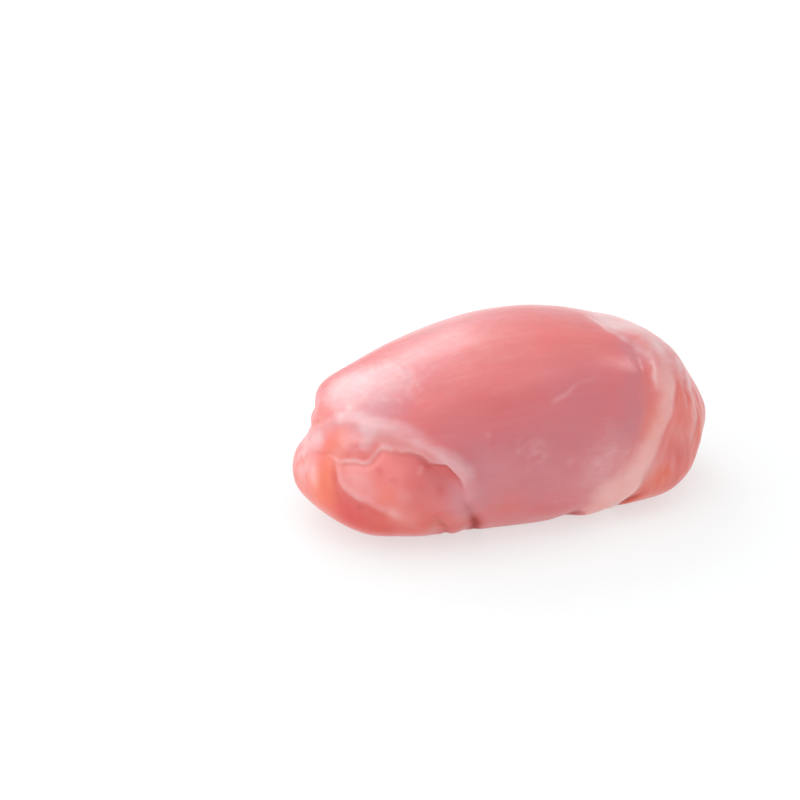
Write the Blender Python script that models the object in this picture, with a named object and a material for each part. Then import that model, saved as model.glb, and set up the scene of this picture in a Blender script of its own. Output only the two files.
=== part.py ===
"""Raw chicken thigh, boned and skinned, folded and laid smooth side up.

Metres, +Z up. The origin is the middle of the underside. +X runs along the muscle to the knuckle end,
and -X to the heel, where the flesh folds under itself. -Y is the near long side, +Y the far one.
The whole is one piece of flesh: a plain rounded body that is pushed about, then raised and creased
along named lines.
"""

import math

import bmesh
import bpy
import numpy as np
from mathutils import Vector, noise

MM = 0.001

# Driving dimensions of the folded thigh
LENGTH = 94 * MM
WIDTH = 57 * MM
HEIGHT = 40.5 * MM
BELLY_HEIGHT = 0.25 * HEIGHT  # where the sides bulge furthest
SAG = 0.30 * BELLY_HEIGHT  # how far the round underside would reach below the board
PLAN_POWER = 0.91  # under 1 makes the plan fuller than an ellipse
SECTION_POWER = 0.85  # under 1 makes the cross-section fuller than an ellipse

CELLS = (110, 70, 62)  # of the starting box, along, across and up
END_BIAS = 0.25  # over 0 makes the cells smaller towards the two ends
KEPT_TRIANGLES = 11500  # after thinning, which keeps them where the flesh folds
SAMPLES_PER_SPAN = 10  # of a line, between two of its places
SOFTENINGS = 4  # of the folds, before the underside settles

# Soft unevenness of the muscle, drawn out along it
SWELL = 0.35 * MM
SWELL_ALONG = 26 * MM
SWELL_ACROSS = 11 * MM


def spot(along, across, up):
    """A place in the thigh's own measure: -1 to 1 along and across, 0 to 1 up."""
    return np.array((along * LENGTH / 2, across * WIDTH / 2, up * HEIGHT))


# Where the body departs from its plain rounded form: place, reach and movement
PUSHES = (
    (spot(0.10, -1.00, 0.05), 23 * MM, (0.0, 3.0 * MM, 0.0)),  # near side, tucked under
    (spot(-0.28, -0.96, 0.02), 11 * MM, (0.0, 3.2 * MM, 0.6 * MM)),  # near side by the notch
    (spot(0.20, 1.00, 0.10), 20 * MM, (0.0, -2.2 * MM, 0.0)),  # far side, tucked under
    (spot(0.80, -0.60, 0.08), 9 * MM, (0.4 * MM, -3.2 * MM, 0.0)),  # flap at the knuckle end
    (spot(0.90, -0.40, 0.06), 9 * MM, (-4.8 * MM, 0.8 * MM, 0.0)),  # flap, rolled under
    (spot(0.95, -0.25, 0.40), 8 * MM, (0.8 * MM, -0.5 * MM, 0.0)),  # flap, where it's widest
    (spot(0.79, -0.74, 0.12), 6.5 * MM, (-1.6 * MM, 1.2 * MM, 0.0)),  # flap's near corner
    (spot(-0.97, 0.15, 0.33), 9 * MM, (-1.2 * MM, 0.0, 0.0)),  # heel
    (spot(-0.88, -0.42, 0.04), 9 * MM, (-0.7 * MM, -0.6 * MM, 0.0)),  # heel's near corner, low
    (spot(-0.93, 0.30, 0.48), 6.5 * MM, (3.2 * MM, -0.9 * MM, 0.0)),  # dip between dome and heel
    (spot(-0.82, 0.26, 0.72), 7 * MM, (-1.5 * MM, 0.0, 0.3 * MM)),  # dome's end over the heel
    (spot(-0.60, 0.40, 0.80), 16 * MM, (0.6 * MM, 0.0, -1.2 * MM)),  # shoulder above the heel
    (spot(-0.30, 0.35, 0.92), 14 * MM, (0.0, 0.0, -0.6 * MM)),  # fall towards the heel
    (spot(0.05, 0.10, 1.00), 16 * MM, (0.0, 0.0, 1.0 * MM)),  # crown
    (spot(0.40, 0.12, 0.98), 12 * MM, (0.0, 0.0, -0.6 * MM)),  # fall beside the fat band
    (spot(0.76, -0.05, 0.82), 8 * MM, (0.0, 0.0, 0.6 * MM)),  # shoulder beyond the fat band
    (spot(0.94, 0.02, 0.62), 9 * MM, (-1.6 * MM, 0.0, 0.0)),  # fall to the knuckle end
)

# Swellings that stand out of the body: place, reach and rise
LUMPS = (
    (spot(-0.64, -0.80, 0.42), 8.0 * MM, 1.3 * MM),  # bundle that shows inside the heel
    (spot(-0.80, -0.50, 0.59), 4.0 * MM, 0.8 * MM),  # upper fold of the heel
    (spot(-0.89, -0.28, 0.61), 5.0 * MM, 1.1 * MM),  # knob at the heel's top
    (spot(-0.96, -0.28, 0.38), 4.5 * MM, 0.9 * MM),  # fat at the heel's near corner
    (spot(-0.80, -0.60, 0.16), 6.0 * MM, 1.0 * MM),  # lower strip of the heel
    (spot(-0.95, 0.24, 0.38), 4.5 * MM, 1.2 * MM),  # heel under the dip
    (spot(-0.90, 0.45, 0.20), 7.0 * MM, 1.0 * MM),  # heel's far corner
    (spot(-0.84, 0.36, 0.62), 5.0 * MM, 0.6 * MM),  # dome over the dip
    (spot(-0.42, -0.86, 0.30), 4.0 * MM, 1.7 * MM),  # small bundle beside the notch
    (spot(-0.41, -0.74, 0.08), 4.0 * MM, 0.9 * MM),  # its foot
    (spot(0.74, -0.52, 0.22), 7.0 * MM, 0.9 * MM),  # flap, low
    (spot(0.86, -0.10, 0.70), 5.0 * MM, 0.8 * MM),  # flap, high
    (spot(0.84, 0.50, 0.45), 7.0 * MM, 1.2 * MM),  # flap's far corner
    (spot(-0.10, 0.92, 0.16), 9.0 * MM, 1.2 * MM),  # lower bundle of the far side
)

# Each line is a row of places, with how strongly its fold shows there. It ends under the board or fades.
HEEL_RIM = (
    (spot(-0.28, -0.54, -0.12), 0.2),
    (spot(-0.29, -0.68, 0.02), 0.2),
    (spot(-0.31, -0.79, 0.14), 0.2),
    (spot(-0.33, -0.89, 0.27), 0.3),
    (spot(-0.37, -0.91, 0.41), 0.7),
    (spot(-0.44, -0.87, 0.52), 1.0),
    (spot(-0.54, -0.76, 0.62), 1.0),
    (spot(-0.65, -0.63, 0.68), 0.9),
    (spot(-0.76, -0.47, 0.70), 0.6),
    (spot(-0.85, -0.25, 0.69), 0.3),
    (spot(-0.92, 0.02, 0.58), 0.3),
    (spot(-0.91, 0.30, 0.50), 0.4),
    (spot(-0.86, 0.50, 0.46), 0.6),
    (spot(-0.78, 0.68, 0.40), 0.7),
    (spot(-0.68, 0.84, 0.26), 0.6),
    (spot(-0.62, 0.84, 0.06), 0.5),
    (spot(-0.60, 0.72, -0.12), 0.4),
)
NOTCH = (
    (spot(-0.40, -0.93, 0.37), 0.0),
    (spot(-0.36, -0.88, 0.26), 0.4),
    (spot(-0.34, -0.79, 0.14), 1.0),
    (spot(-0.32, -0.67, 0.00), 1.0),
)
SMALL_NOTCH = (
    (spot(-0.56, -0.87, 0.24), 0.0),
    (spot(-0.51, -0.79, 0.13), 0.8),
    (spot(-0.48, -0.67, 0.00), 1.0),
)
BUNDLE_EDGE = (
    (spot(-0.93, -0.34, 0.47), 0.0),
    (spot(-0.92, -0.43, 0.37), 1.0),
    (spot(-0.87, -0.53, 0.32), 1.0),
    (spot(-0.79, -0.66, 0.27), 0.8),
    (spot(-0.70, -0.74, 0.23), 0.4),
    (spot(-0.62, -0.80, 0.20), 0.0),
)
UPPER_FOLD = (
    (spot(-0.93, -0.33, 0.48), 0.5),
    (spot(-0.87, -0.49, 0.49), 1.0),
    (spot(-0.80, -0.58, 0.52), 1.0),
    (spot(-0.74, -0.62, 0.58), 0.5),
)
FAT_BAND = (
    (spot(0.20, -0.62, -0.12), 1.0),
    (spot(0.25, -0.76, 0.04), 1.0),
    (spot(0.33, -0.84, 0.15), 1.0),
    (spot(0.47, -0.86, 0.29), 0.9),
    (spot(0.58, -0.80, 0.46), 0.8),
    (spot(0.64, -0.68, 0.62), 0.8),
    (spot(0.63, -0.52, 0.77), 0.7),
    (spot(0.64, -0.28, 0.86), 0.4),
    (spot(0.62, 0.00, 0.90), 0.2),
    (spot(0.62, 0.32, 0.84), 0.2),
    (spot(0.63, 0.58, 0.68), 0.8),
    (spot(0.57, 0.78, 0.46), 0.9),
    (spot(0.48, 0.86, 0.24), 1.0),
    (spot(0.42, 0.84, 0.06), 1.0),
    (spot(0.40, 0.72, -0.12), 1.0),
)
FLAP_CREASE = (
    (spot(0.71, -0.58, 0.66), 0.0),
    (spot(0.69, -0.70, 0.50), 0.1),
    (spot(0.60, -0.78, 0.34), 0.3),
    (spot(0.48, -0.80, 0.18), 0.9),
    (spot(0.42, -0.74, 0.00), 1.0),
)
FLAP_FOLD = (
    (spot(0.86, -0.05, 0.74), 0.4),
    (spot(0.89, -0.24, 0.64), 0.9),
    (spot(0.87, -0.42, 0.56), 1.0),
    (spot(0.83, -0.58, 0.44), 1.0),
    (spot(0.78, -0.68, 0.26), 0.5),
)
FLAP_FOLD_FAR = (
    (spot(0.86, 0.15, 0.72), 0.4),
    (spot(0.91, 0.30, 0.52), 1.0),
    (spot(0.88, 0.42, 0.30), 0.9),
    (spot(0.80, 0.50, 0.10), 0.6),
)
FAR_SEAM = (
    (spot(-0.58, 0.90, 0.27), 0.0),
    (spot(-0.46, 0.94, 0.31), 0.7),
    (spot(-0.22, 0.98, 0.36), 1.0),
    (spot(0.12, 0.99, 0.36), 1.0),
    (spot(0.36, 0.94, 0.30), 0.9),
    (spot(0.50, 0.87, 0.22), 0.0),
)

# Strips raised or sunk along a line: line, rise, width, and how far to the left of the line they lie
RIDGES = (
    (HEEL_RIM, 0.9 * MM, 2.2 * MM, 0.6 * MM),
    (NOTCH, -1.2 * MM, 1.3 * MM, 0.0),
    (SMALL_NOTCH, -1.5 * MM, 1.6 * MM, 0.0),
    (BUNDLE_EDGE, 0.6 * MM, 1.5 * MM, 0.0),
    (BUNDLE_EDGE, -1.0 * MM, 1.6 * MM, -2.2 * MM),
    (UPPER_FOLD, -0.6 * MM, 1.4 * MM, 0.0),
    (FAT_BAND, 0.8 * MM, 2.4 * MM, 0.0),
    (FAT_BAND, -0.7 * MM, 1.8 * MM, 4.2 * MM),
    (FLAP_CREASE, -1.5 * MM, 1.6 * MM, 0.0),
    (FLAP_FOLD, -0.6 * MM, 1.4 * MM, 0.0),
    (FLAP_FOLD_FAR, -0.9 * MM, 1.7 * MM, 0.0),
    (FAR_SEAM, -1.6 * MM, 1.9 * MM, 0.0),
    (FAR_SEAM, 0.8 * MM, 2.0 * MM, 3.0 * MM),
)

# The step down from the heel's rolled rim to the flesh inside it
RIM_DROP = 2.7 * MM
RIM_WALL = 1.6 * MM
RIM_RECOVERY = 6.5 * MM
RIM_HALF_WIDTH = 1.4 * MM


def rounded(value, power):
    return np.sign(value) * np.abs(value) ** power


def box_of_cells():
    """A closed box from -1 to 1 along each axis, with its faces split into cells."""
    cage = bmesh.new()
    bmesh.ops.create_cube(cage, size=2.0)
    for axis, cells in enumerate(CELLS):
        along_axis = [
            edge for edge in cage.edges if abs(edge.verts[0].co[axis] - edge.verts[1].co[axis]) > 1
        ]
        bmesh.ops.subdivide_edges(cage, edges=along_axis, cuts=cells - 1, use_grid_fill=True)
    return cage


def plain_body():
    """The box blown up to the full rounded form."""
    cage = box_of_cells()
    for vert in cage.verts:
        vert.co.x += END_BIAS * math.sin(math.pi * vert.co.x) / math.pi
        direction = vert.co.normalized()
        level = math.hypot(direction.x, direction.y)
        heading = math.atan2(direction.y, direction.x)
        ring = level**SECTION_POWER
        rise = rounded(direction.z, SECTION_POWER)
        reach = HEIGHT - BELLY_HEIGHT if rise > 0 else BELLY_HEIGHT + SAG
        vert.co = (
            LENGTH / 2 * ring * rounded(math.cos(heading), PLAN_POWER),
            WIDTH / 2 * ring * rounded(math.sin(heading), PLAN_POWER),
            BELLY_HEIGHT + reach * rise,
        )
    return cage


def places_of(cage):
    return np.array([vert.co for vert in cage.verts])


def outward_of(cage):
    """The direction out of the flesh at each of the cage's points."""
    cage.normal_update()
    return np.array([vert.normal for vert in cage.verts])


def move_to(cage, places):
    for vert, place in zip(cage.verts, places):
        vert.co = place


def fade(distance, reach):
    return np.exp(-((distance / reach) ** 2))


def smooth_line(line):
    """Samples of the smooth curve through a line's places, with the strength at each."""
    knots = np.array([(*place, strength) for place, strength in line])
    knots = np.vstack((2 * knots[0] - knots[1], knots, 2 * knots[-1] - knots[-2]))
    samples = []
    for before, start, end, after in zip(knots, knots[1:], knots[2:], knots[3:]):
        for step in range(SAMPLES_PER_SPAN):
            t = step / SAMPLES_PER_SPAN
            pull = (end - before) * t + (2 * before - 5 * start + 4 * end - after) * t**2
            bend = (3 * start - before - 3 * end + after) * t**3
            samples.append(start + (pull + bend) / 2)
    samples.append(knots[-2])
    samples = np.array(samples)
    return samples[:, :3], samples[:, 3]


def across(line, places, outward):
    """How far each place lies from a line, and the line's strength there.

    The distance is positive on the left of the line's course, seen from outside the flesh.
    """
    course, strength = smooth_line(line)
    heading = np.gradient(course, axis=0)
    heading /= np.linalg.norm(heading, axis=1)[:, None]
    offsets = places[:, None, :] - course[None, :, :]
    nearest = np.linalg.norm(offsets, axis=2).argmin(axis=1)
    offset = offsets[np.arange(len(places)), nearest]
    heading = heading[nearest]
    between_ends = (nearest > 0) & (nearest < len(course) - 1)
    past_sample = np.where(between_ends, (offset * heading).sum(axis=1), 0.0)
    offset = offset - past_sample[:, None] * heading
    left = np.cross(outward, heading)
    side = np.where((offset * left).sum(axis=1) >= 0, 1.0, -1.0)
    return side * np.linalg.norm(offset, axis=1), strength[nearest]


def swell(places):
    """Gentle waves that run along the muscle."""
    waves = [
        noise.noise(Vector((x / SWELL_ALONG, y / SWELL_ACROSS, z / SWELL_ACROSS)))
        for x, y, z in places
    ]
    return SWELL * np.array(waves)


def rim_step(places, outward):
    """How far the flesh inside the heel's rim lies below it, less and less away from the rim."""
    distance, strength = across(HEEL_RIM, places, outward)
    beyond = np.maximum(distance - RIM_HALF_WIDTH, 0.0)
    return RIM_DROP * strength * np.minimum(beyond / RIM_WALL, 1.0) * fade(beyond, RIM_RECOVERY)


def relief(places, outward):
    """How far each place of the body stands out or sinks in."""
    height = swell(places) - rim_step(places, outward)
    for centre, reach, rise in LUMPS:
        height += rise * fade(np.linalg.norm(places - centre, axis=1), reach)
    for line, rise, width, shift in RIDGES:
        distance, strength = across(line, places, outward)
        height += rise * strength * fade(distance - shift, width)
    return height


def shaped_places(cage):
    """The finished places of the cage's points, with the underside spread flat on the board."""
    places = places_of(cage)
    for centre, reach, move in PUSHES:
        distance = np.linalg.norm(places - centre, axis=1)
        places = places + fade(distance, reach)[:, None] * np.array(move)
    move_to(cage, places)
    outward = outward_of(cage)
    move_to(cage, places + relief(places, outward)[:, None] * outward)
    for _ in range(SOFTENINGS):
        bmesh.ops.smooth_vert(
            cage, verts=cage.verts[:], factor=0.5, use_axis_x=True, use_axis_y=True, use_axis_z=True
        )
    places = places_of(cage)
    places[:, 2] = np.maximum(places[:, 2], 0.0)
    return places


def underside_middle(places):
    middle = (places.min(axis=0) + places.max(axis=0)) / 2
    middle[2] = 0.0
    return middle


def flesh_material():
    flesh = bpy.data.materials.new("flesh")
    flesh.use_nodes = True
    shader = flesh.node_tree.nodes["Principled BSDF"]
    shader.inputs["Base Color"].default_value = (0.66, 0.22, 0.21, 1.0)
    shader.inputs["Roughness"].default_value = 0.35
    shader.inputs["Metallic"].default_value = 0.0
    return flesh


def thigh():
    """The finished object, thinned to the triangles that its folds need."""
    cage = plain_body()
    places = shaped_places(cage)
    move_to(cage, places - underside_middle(places))
    cage.normal_update()
    mesh = bpy.data.meshes.new("thigh")
    cage.to_mesh(mesh)
    cage.free()
    mesh.shade_smooth()
    mesh.materials.append(flesh_material())
    piece = bpy.data.objects.new("thigh", mesh)
    bpy.context.scene.collection.objects.link(piece)
    thinning = piece.modifiers.new("thinning", "DECIMATE")
    thinning.ratio = KEPT_TRIANGLES / (2 * len(mesh.polygons))
    return piece


def main():
    for old in list(bpy.data.objects):
        bpy.data.objects.remove(old)
    thigh()


main()
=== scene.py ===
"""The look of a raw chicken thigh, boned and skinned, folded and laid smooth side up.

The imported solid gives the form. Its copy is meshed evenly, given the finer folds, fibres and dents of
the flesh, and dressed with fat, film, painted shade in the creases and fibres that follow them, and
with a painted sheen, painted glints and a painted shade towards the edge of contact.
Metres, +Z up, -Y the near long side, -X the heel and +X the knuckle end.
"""

import logging
import math
from dataclasses import dataclass, field
from enum import Enum

import bmesh
import bpy
import numpy as np
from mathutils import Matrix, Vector, noise
from mathutils.kdtree import KDTree


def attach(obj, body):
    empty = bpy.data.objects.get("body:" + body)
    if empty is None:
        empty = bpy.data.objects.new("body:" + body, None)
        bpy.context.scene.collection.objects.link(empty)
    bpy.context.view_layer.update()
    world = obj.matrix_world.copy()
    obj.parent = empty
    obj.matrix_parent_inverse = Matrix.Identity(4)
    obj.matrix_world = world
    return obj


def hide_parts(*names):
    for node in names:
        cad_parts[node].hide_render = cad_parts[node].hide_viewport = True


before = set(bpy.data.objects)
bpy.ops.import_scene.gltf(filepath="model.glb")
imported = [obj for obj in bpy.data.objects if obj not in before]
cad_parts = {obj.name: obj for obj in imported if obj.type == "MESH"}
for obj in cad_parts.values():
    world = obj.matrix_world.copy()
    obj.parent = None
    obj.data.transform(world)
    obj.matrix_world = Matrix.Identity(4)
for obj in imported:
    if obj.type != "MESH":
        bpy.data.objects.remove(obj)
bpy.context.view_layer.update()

log = logging.getLogger("thigh")

MM = 0.001
HALF_LENGTH = 47 * MM
HALF_WIDTH = 28.5 * MM
HEIGHT = 40.5 * MM
MIDDLE = (0.57 * MM, -1.21 * MM)  # where the thigh's own measure has its 0

PITCH = 0.5 * MM  # between the points of a course
BATCH = 8000  # points of the flesh measured at a time

Place = tuple[float, float, float]
Colour = tuple[float, float, float]


def spot(along: float, across: float, up: float) -> np.ndarray:
    """A place in the thigh's own measure: -1 to 1 along and across, 0 to 1 up."""
    return np.array((along * HALF_LENGTH + MIDDLE[0], across * HALF_WIDTH + MIDDLE[1], up * HEIGHT))


def fade(distance: np.ndarray, reach: float) -> np.ndarray:
    """A soft bell, 1 at the centre."""
    return np.exp(-((distance / reach) ** 2))


def ramp(value: np.ndarray, low: float, high: float) -> np.ndarray:
    """A smooth rise from 0 at low to 1 at high."""
    t = np.clip((value - low) / (high - low), 0.0, 1.0)
    return t * t * (3 - 2 * t)


class Tone(Enum):
    """What the flesh shows at a place. Each is stored on the mesh for the finish to read."""

    # pale membrane, and in places a painted sheen or painted highlight
    FILM_AND_SHEEN = "film"
    FAT = "fat"
    AMBER = "amber"
    RED = "red"
    MAUVE = "mauve"
    SALMON = "salmon"
    # fine pale lines, and also painted glints and painted highlight streaks
    THREAD = "thread"
    # dark tone: painted shade in creases, notches, seams and at the edge of contact, and a few small
    # dark specks
    CREASE = "crease"
    FIBRE = "fibre"


@dataclass(frozen=True)
class Course:
    """A fold, edge or thread: a smooth line over the flesh, with its strength at each place.

    Attributes:
        places: along, across, up and strength at each place.
    """

    places: tuple[tuple[float, float, float, float], ...]

    def samples(self) -> tuple[np.ndarray, np.ndarray]:
        """Points along the line, and the strength at each.

        Returns:
            The points, and the strengths.
        """
        knots = np.array([(*spot(*place[:3]), place[3]) for place in self.places])
        knots = np.vstack((2 * knots[0] - knots[1], knots, 2 * knots[-1] - knots[-2]))
        rows = []
        for before, start, end, after in zip(knots, knots[1:], knots[2:], knots[3:]):
            steps = max(2, int(np.linalg.norm((end - start)[:3]) / PITCH))
            t = (np.arange(steps) / steps)[:, None]
            pull = (end - before) * t + (2 * before - 5 * start + 4 * end - after) * t**2
            bend = (3 * start - before - 3 * end + after) * t**3
            rows.append(start + (pull + bend) / 2)
        rows.append(knots[-2][None])
        points = np.vstack(rows)
        return points[:, :3], points[:, 3]


Row = tuple[Course | Tone | float | Place, ...]  # one strip or patch of tone


@dataclass(frozen=True)
class Reading:
    """Where every point of the flesh lies against a course.

    Attributes:
        distance: signed, positive on the left of the course seen from outside.
        along: length of the course up to the nearest place.
        strength: of the course there, 0 past its ends.
        left: the direction across the course, over the surface.
    """

    distance: np.ndarray
    along: np.ndarray
    strength: np.ndarray
    left: np.ndarray


@dataclass
class Surface:
    """The flesh's points while they are shaped and toned.

    Attributes:
        places: the points.
        outward: the direction out of the flesh at each.
        wobble: how far the lines stray from their courses.
        wobble_size: the length of one stray.
        wobble_seed: which strays are drawn, the same in each run.
        height: how far each point is raised.
        slide: how far each point is moved over the surface.
        tones: what shows at each point.
        warped: the points as the courses and spots see them.
        rags: the noise that breaks up ragged patches.
        readings: the courses measured so far.
        tree: finds the point nearest to a place.
    """

    places: np.ndarray
    outward: np.ndarray
    wobble: float = 0.5 * MM
    wobble_size: float = 4 * MM
    wobble_seed: int = 1
    height: np.ndarray = field(init=False)
    slide: np.ndarray = field(init=False)
    tones: dict[Tone, np.ndarray] = field(init=False)
    warped: np.ndarray = field(init=False)
    rags: np.ndarray = field(init=False)
    readings: dict[Course, Reading] = field(init=False, default_factory=dict)
    tree: KDTree = field(init=False)

    def __post_init__(self) -> None:
        """Starts with no relief and no tones, and with the lines wobbled a little."""
        count = len(self.places)
        self.height = np.zeros(count)
        self.slide = np.zeros((count, 3))
        self.tones = {tone: np.zeros(count) for tone in Tone}
        noise.seed_set(self.wobble_seed)
        self.warped = self.places + self.wobble * np.array(
            [noise.noise_vector(Vector(place) / self.wobble_size) for place in self.places]
        )
        self.rags = self.noise(3.0 * MM, seed=5.5) + 0.5 * self.noise(1.3 * MM, seed=2.5)
        self.tree = KDTree(count)
        for index, place in enumerate(self.places):
            self.tree.insert(place, index)
        self.tree.balance()

    def noise(self, size: float, stretch: Place = (1.0, 1.0, 1.0), seed: float = 0.0) -> np.ndarray:
        """Soft noise over the flesh, about -1 to 1.

        Args:
            size: of its lumps.
            stretch: how much longer they are along each axis.
            seed: moves the pattern.

        Returns:
            The noise at each point.
        """
        scaled = self.places / (size * np.array(stretch)) + seed
        return np.array([noise.noise(Vector(place)) for place in scaled])

    def laid(self, points: np.ndarray) -> np.ndarray:
        """Brings points that lie a little off the flesh onto it.

        Args:
            points: of a course.

        Returns:
            The same points, moved straight in or out.
        """
        rows = []
        for point in points:
            index = self.tree.find(point)[1]
            outward = self.outward[index]
            rows.append(point + ((self.places[index] - point) @ outward) * outward)
        return np.array(rows)

    def read(self, course: Course) -> Reading:
        """Measures every point against a course, once for each course."""
        if course not in self.readings:
            self.readings[course] = self.measure(course)
        return self.readings[course]

    def measure(self, course: Course) -> Reading:
        """Measures every point against a course.

        Args:
            course: the line.

        Returns:
            The reading.
        """
        points, strengths = course.samples()
        points = self.laid(points)
        heading = np.gradient(points, axis=0)
        heading /= np.maximum(np.linalg.norm(heading, axis=1), 1e-9)[:, None]
        steps = np.linalg.norm(np.diff(points, axis=0), axis=1)
        lengths = np.concatenate(([0.0], np.cumsum(steps)))
        nearest = np.empty(len(self.warped), int)
        for start in range(0, len(self.warped), BATCH):
            part = self.warped[start : start + BATCH]
            squares = (part**2).sum(1)[:, None] - 2 * part @ points.T + (points**2).sum(1)
            nearest[start : start + BATCH] = squares.argmin(axis=1)
        offset = self.warped - points[nearest]
        way = heading[nearest]
        past = (offset * way).sum(axis=1)
        inside = (nearest > 0) & (nearest < len(points) - 1)
        offset = offset - np.where(inside, past, 0.0)[:, None] * way
        left = np.cross(self.outward, way)
        left /= np.maximum(np.linalg.norm(left, axis=1), 1e-9)[:, None]
        side = np.where((offset * left).sum(axis=1) >= 0, 1.0, -1.0)
        return Reading(
            side * np.linalg.norm(offset, axis=1), lengths[nearest] + past, strengths[nearest], left
        )

    def lift(self, course: Course, rise: float, width: float, shift: float = 0.0) -> None:
        """Raises a strip along a course, or sinks it where rise is under 0.

        Args:
            course: the line.
            rise: at the strip's middle.
            width: of the bell.
            shift: how far to the left of the course the strip lies.
        """
        reading = self.read(course)
        self.height += rise * reading.strength * fade(reading.distance - shift, width)

    def lean(self, course: Course, reach: float, width: float, shift: float = 0.0) -> None:
        """Slides a strip to the left of its course, so that a lip hangs over the crease beside it.

        Args:
            course: the line.
            reach: how far it slides.
            width: of the bell.
            shift: how far to the left of the course the strip lies.
        """
        reading = self.read(course)
        amount = reach * reading.strength * fade(reading.distance - shift, width)
        self.slide += amount[:, None] * reading.left

    def swell(self, centre: Place, rise: float, reach: float) -> None:
        """Raises or sinks a soft round lump."""
        self.height += rise * fade(np.linalg.norm(self.warped - spot(*centre), axis=1), reach)

    def tint(self, tone: Tone, amount: np.ndarray) -> None:
        """Lays a tone over what is there, as paint on paint."""
        there = self.tones[tone]
        self.tones[tone] = there + np.clip(amount, 0.0, 1.0) * (1.0 - there)

    def tint_lines(self, *rows: Row) -> None:
        """Tones strips along courses.

        Args:
            rows: each the course, the tone, its amount at the strip's middle, the bell's width in
                millimetres and, where the strip lies to the left of the course, how far in millimetres.
        """
        for course, tone, amount, width, *shift in rows:
            reading = self.read(course)
            aside = shift[0] * MM if shift else 0.0
            self.tint(tone, amount * reading.strength * fade(reading.distance - aside, width * MM))

    def tint_between(
        self, course: Course, tone: Tone, amount: float, low: float, high: float, edge: float
    ) -> None:
        """Tones a strip with edges of its own.

        Args:
            course: the line.
            tone: what shows there.
            amount: within the strip, 0 to 1.
            low: the strip's right edge, measured to the left of the course.
            high: its left edge.
            edge: how soft the edges are.
        """
        reading = self.read(course)
        within = ramp(reading.distance, low - edge, low + edge)
        within = within * ramp(-reading.distance, -high - edge, edge - high)
        self.tint(tone, amount * reading.strength * within)

    def tint_region(
        self, right: Course, left: Course, tone: Tone, amount: float, soft_right: float, soft_left: float
    ) -> None:
        """Tones what lies between two courses that run the same way.

        Args:
            right: the course with the region on its left.
            left: the course with the region on its right.
            tone: what shows there.
            amount: 0 to 1.
            soft_right: how soft the right edge is.
            soft_left: how soft the left edge is.
        """
        from_right = self.read(right)
        from_left = self.read(left)
        within = ramp(from_right.distance, -soft_right, soft_right)
        within = within * ramp(-from_left.distance, -soft_left, soft_left)
        self.tint(tone, amount * from_right.strength * within)

    def near(self, centre: Place, reach: float) -> np.ndarray:
        """How near every point is to a spot, from 1 there to 0 far away."""
        return fade(np.linalg.norm(self.warped - spot(*centre), axis=1), reach)

    def tint_spots(self, *rows: Row) -> None:
        """Tones soft round patches.

        Args:
            rows: each the tone, its amount at the centres, the reach in millimetres, and the centres.
        """
        for tone, amount, reach, *centres in rows:
            for centre in centres:
                self.tint(tone, amount * self.near(centre, reach * MM))

    def tint_ragged(self, *rows: Row) -> None:
        """Tones round patches that are partly broken up.

        Args:
            rows: each the tone, its amount at the centre, the reach in millimetres, how much of it is
                broken up, 0 to 1, and the centre.
        """
        gaps = ramp(self.rags, -0.15, 0.35)
        for tone, amount, reach, ragged, centre in rows:
            self.tint(tone, amount * self.near(centre, reach * MM) * (1.0 - ragged * gaps))


RIM_CREST = Course((
    (-0.35, -0.85, 0.23, 0.0), (-0.36, -0.91, 0.34, 0.1), (-0.35, -0.92, 0.41, 0.3),
    (-0.38, -0.91, 0.46, 0.7), (-0.42, -0.89, 0.51, 1.0), (-0.46, -0.87, 0.55, 1.0),
    (-0.50, -0.83, 0.60, 1.0), (-0.55, -0.80, 0.63, 1.0), (-0.59, -0.74, 0.67, 0.9),
    (-0.63, -0.67, 0.70, 0.9), (-0.67, -0.61, 0.71, 0.9), (-0.71, -0.54, 0.72, 0.9),
    (-0.76, -0.48, 0.71, 0.7), (-0.80, -0.41, 0.70, 0.4), (-0.85, -0.28, 0.70, 0.0),
))
HEEL_BORDER = Course((
    *RIM_CREST.places, (-0.90, -0.15, 0.66, 0.0), (-0.93, -0.07, 0.61, 0.0),
    (-0.94, 0.01, 0.57, 0.0), (-0.93, 0.15, 0.52, 0.0), (-0.90, 0.36, 0.48, 0.0),
    (-0.83, 0.62, 0.36, 0.0), (-0.76, 0.72, 0.18, 0.0), (-0.68, 0.62, -0.04, 0.0),
))
RIM_EDGE = Course((
    (-0.38, -0.82, 0.20, 0.0), (-0.39, -0.86, 0.30, 0.1), (-0.40, -0.88, 0.37, 0.3),
    (-0.41, -0.88, 0.41, 0.6), (-0.43, -0.89, 0.44, 0.9), (-0.45, -0.88, 0.47, 1.0),
    (-0.47, -0.87, 0.50, 1.0), (-0.49, -0.85, 0.53, 1.0), (-0.51, -0.82, 0.53, 1.0),
    (-0.54, -0.77, 0.53, 1.0), (-0.57, -0.74, 0.55, 1.0), (-0.62, -0.69, 0.58, 0.8),
    (-0.66, -0.64, 0.58, 0.6), (-0.71, -0.59, 0.59, 0.3), (-0.76, -0.54, 0.62, 0.0),
))
RIM_FILM_AND_SHEEN = Course((
    (-0.86, -0.25, 0.68, 0.6), (-0.83, -0.33, 0.71, 1.0), (-0.78, -0.44, 0.71, 1.0),
    (-0.73, -0.52, 0.71, 0.9), (-0.68, -0.60, 0.70, 0.7), (-0.63, -0.68, 0.69, 0.6),
    (-0.59, -0.76, 0.65, 0.5), (-0.55, -0.81, 0.60, 0.6), (-0.52, -0.84, 0.58, 0.7),
    (-0.48, -0.87, 0.55, 0.7), (-0.44, -0.89, 0.51, 0.6), (-0.40, -0.91, 0.47, 0.4),
    (-0.37, -0.92, 0.42, 0.0),
))
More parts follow.
